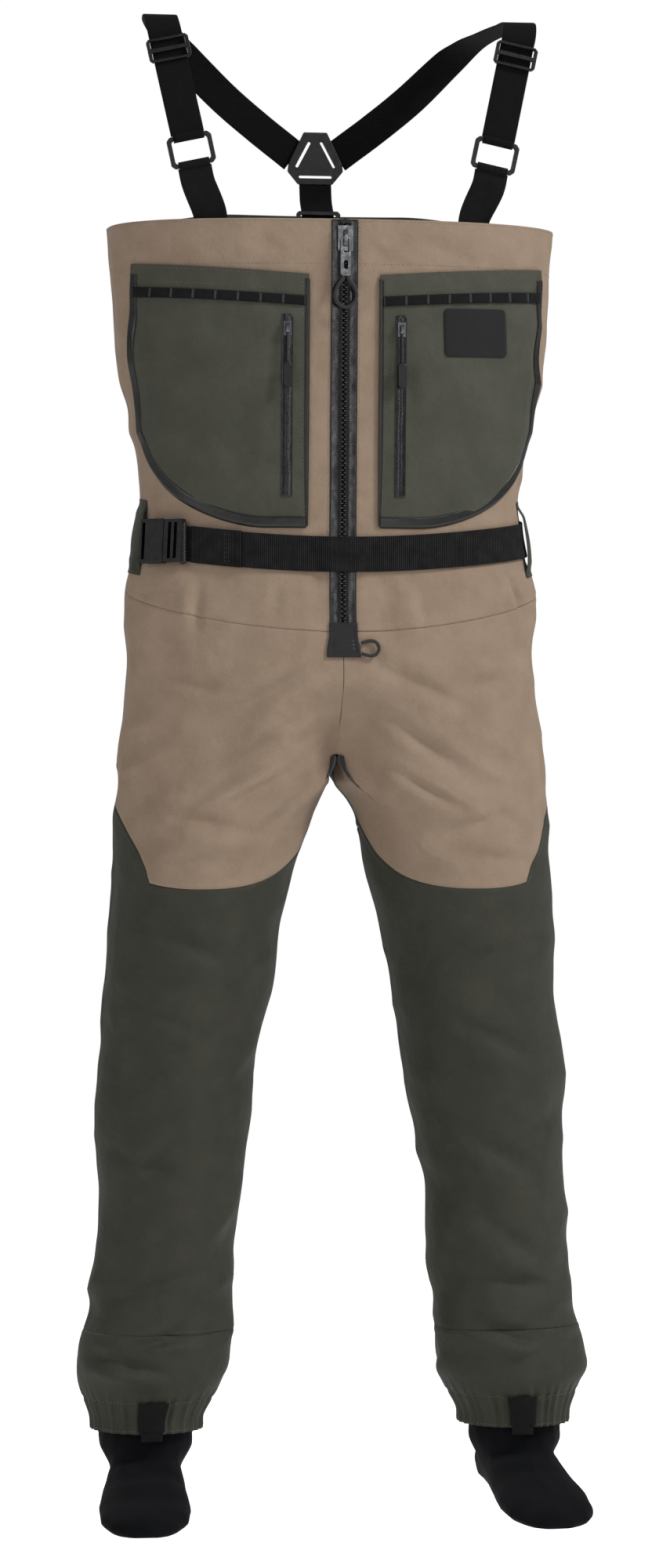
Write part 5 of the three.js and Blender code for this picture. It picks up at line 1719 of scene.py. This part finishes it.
def make_sock(side):
    """Neoprene sock: one soft form from the shin to the toes, glued and taped round its sole"""
    obj = copy_of([f"sock_{part}_{side}" for part in ("ankle", "foot", "sole")], f"sock_{side}")
    apply_modifier(obj, "REMESH", mode="VOXEL", voxel_size=0.0026)
    apply_modifier(obj, "SMOOTH", factor=0.7, iterations=14)
    data = obj.data
    points = np.zeros(len(data.vertices) * 3)
    normals = np.zeros(len(data.vertices) * 3)
    data.vertices.foreach_get("co", points)
    data.vertices.foreach_get("normal", normals)
    points, normals = points.reshape(-1, 3) / MM, normals.reshape(-1, 3)
    local = foot_frame(points, side)
    sole = 0.8 * np.exp(-((local[:, 2] + 58) / 1.6) ** 2)
    top_seam = 0.7 * np.exp(-(local[:, 0] / 1.5) ** 2) * ease(-local[:, 1], 20, 40)
    top_seam = top_seam * (local[:, 2] > -60)
    soft = noise(points, 30) + 1.6 * ridges(points * (0.4, 1, 1), 34) * ease(local[:, 2], -50, -10)
    points = points + normals * (sole + top_seam + soft)[:, None]
    data.vertices.foreach_set("co", (points * MM).ravel())
    data.update()
    data.polygons.foreach_set("use_smooth", np.ones(len(data.polygons), bool))
    obj.data.materials.append(NEOPRENE)
    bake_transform(obj)
    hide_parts(f"sock_ankle_{side}", f"sock_foot_{side}", f"sock_sole_{side}")


for side in SIDES:
    make_guard_hook(side)
    make_sock(side)


# ---------------------------------------------------------------- hardware

def finish_hardware(name, used, bevel):
    """A CAD part keeps its shape: its edges are broken and it takes its material"""
    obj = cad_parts[name]
    obj.data.materials.clear()
    obj.data.materials.append(used)
    weld = obj.modifiers.new("weld", "WELD")
    weld.merge_threshold = 0.00002
    edge = obj.modifiers.new("edge", "BEVEL")
    edge.width = bevel * MM
    edge.segments = 2
    edge.limit_method = "ANGLE"
    edge.angle_limit = math.radians(40)


for name, used, bevel in (("zip_slider", METAL, 0.5), ("zip_pull", METAL, 0.45),
                          ("yoke", PLASTIC, 0.9), ("back_buckle", PLASTIC, 0.7),
                          ("buckle_socket", PLASTIC, 0.5), ("buckle_plug", PLASTIC, 0.4)):
    finish_hardware(name, used, bevel)
for side in SIDES:
    for name, used, bevel in (("ring", PLASTIC, 1.1), ("adjuster", PLASTIC, 0.8),
                              ("pocket_slider", METAL, 0.35), ("pocket_pull", RUBBER, 1.0)):
        finish_hardware(f"{name}_{side}", used, bevel)


# ---------------------------------------------------------------- room

def light(name, place, size, power, target=(0, 0, -0.85)):
    data = bpy.data.lights.new(name, "AREA")
    data.shape = "RECTANGLE"
    data.size, data.size_y = size
    data.energy = power
    lamp = bpy.data.objects.new(name, data)
    bpy.context.scene.collection.objects.link(lamp)
    lamp.location = place
    lamp.rotation_euler = (Vector(target) - Vector(place)).to_track_quat("-Z", "Y").to_euler()


AMBIENT = 0.27


def make_room():
    world = bpy.data.worlds.new("studio")
    bpy.context.scene.world = world
    world.use_nodes = True
    tree = world.node_tree
    background = tree.nodes["Background"]
    background.inputs["Color"].default_value = (1, 1, 1, 1)
    seen = node(tree, "ShaderNodeLightPath").outputs["Is Camera Ray"]
    tree.links.new(spread(tree, seen, AMBIENT, 1.0), background.inputs["Strength"])
    bpy.context.scene.view_settings.view_transform = "Standard"
    light("key", (2.9, -2.0, 2.3), (1.1, 1.3), 128)
    light("fill", (-3.4, -3.2, 0.6), (2.0, 2.2), 36)
    light("strip", (0.9, -5.2, -0.2), (0.22, 2.6), 16)
    light("rim", (-0.6, 3.2, 0.8), (2.6, 2.0), 26)
    bpy.ops.mesh.primitive_plane_add(size=12, location=(0, 0, cad_box[0][2] - 0.09))
    floor = bpy.context.object
    floor.name = "floor"
    paint, paint_tree, shader = material("floor_paint_white", Roughness=0.9)
    direct = node(paint_tree, "ShaderNodeLightPath").outputs["Is Camera Ray"]
    paint_tree.links.new(spread(paint_tree, direct, 0.2, 0.72), shader.inputs["Emission Strength"])
    shader.inputs["Base Color"].default_value = (0.95, 0.95, 0.95, 1)
    shader.inputs["Emission Color"].default_value = (1, 1, 1, 1)
    floor.data.materials.append(paint)


make_room()
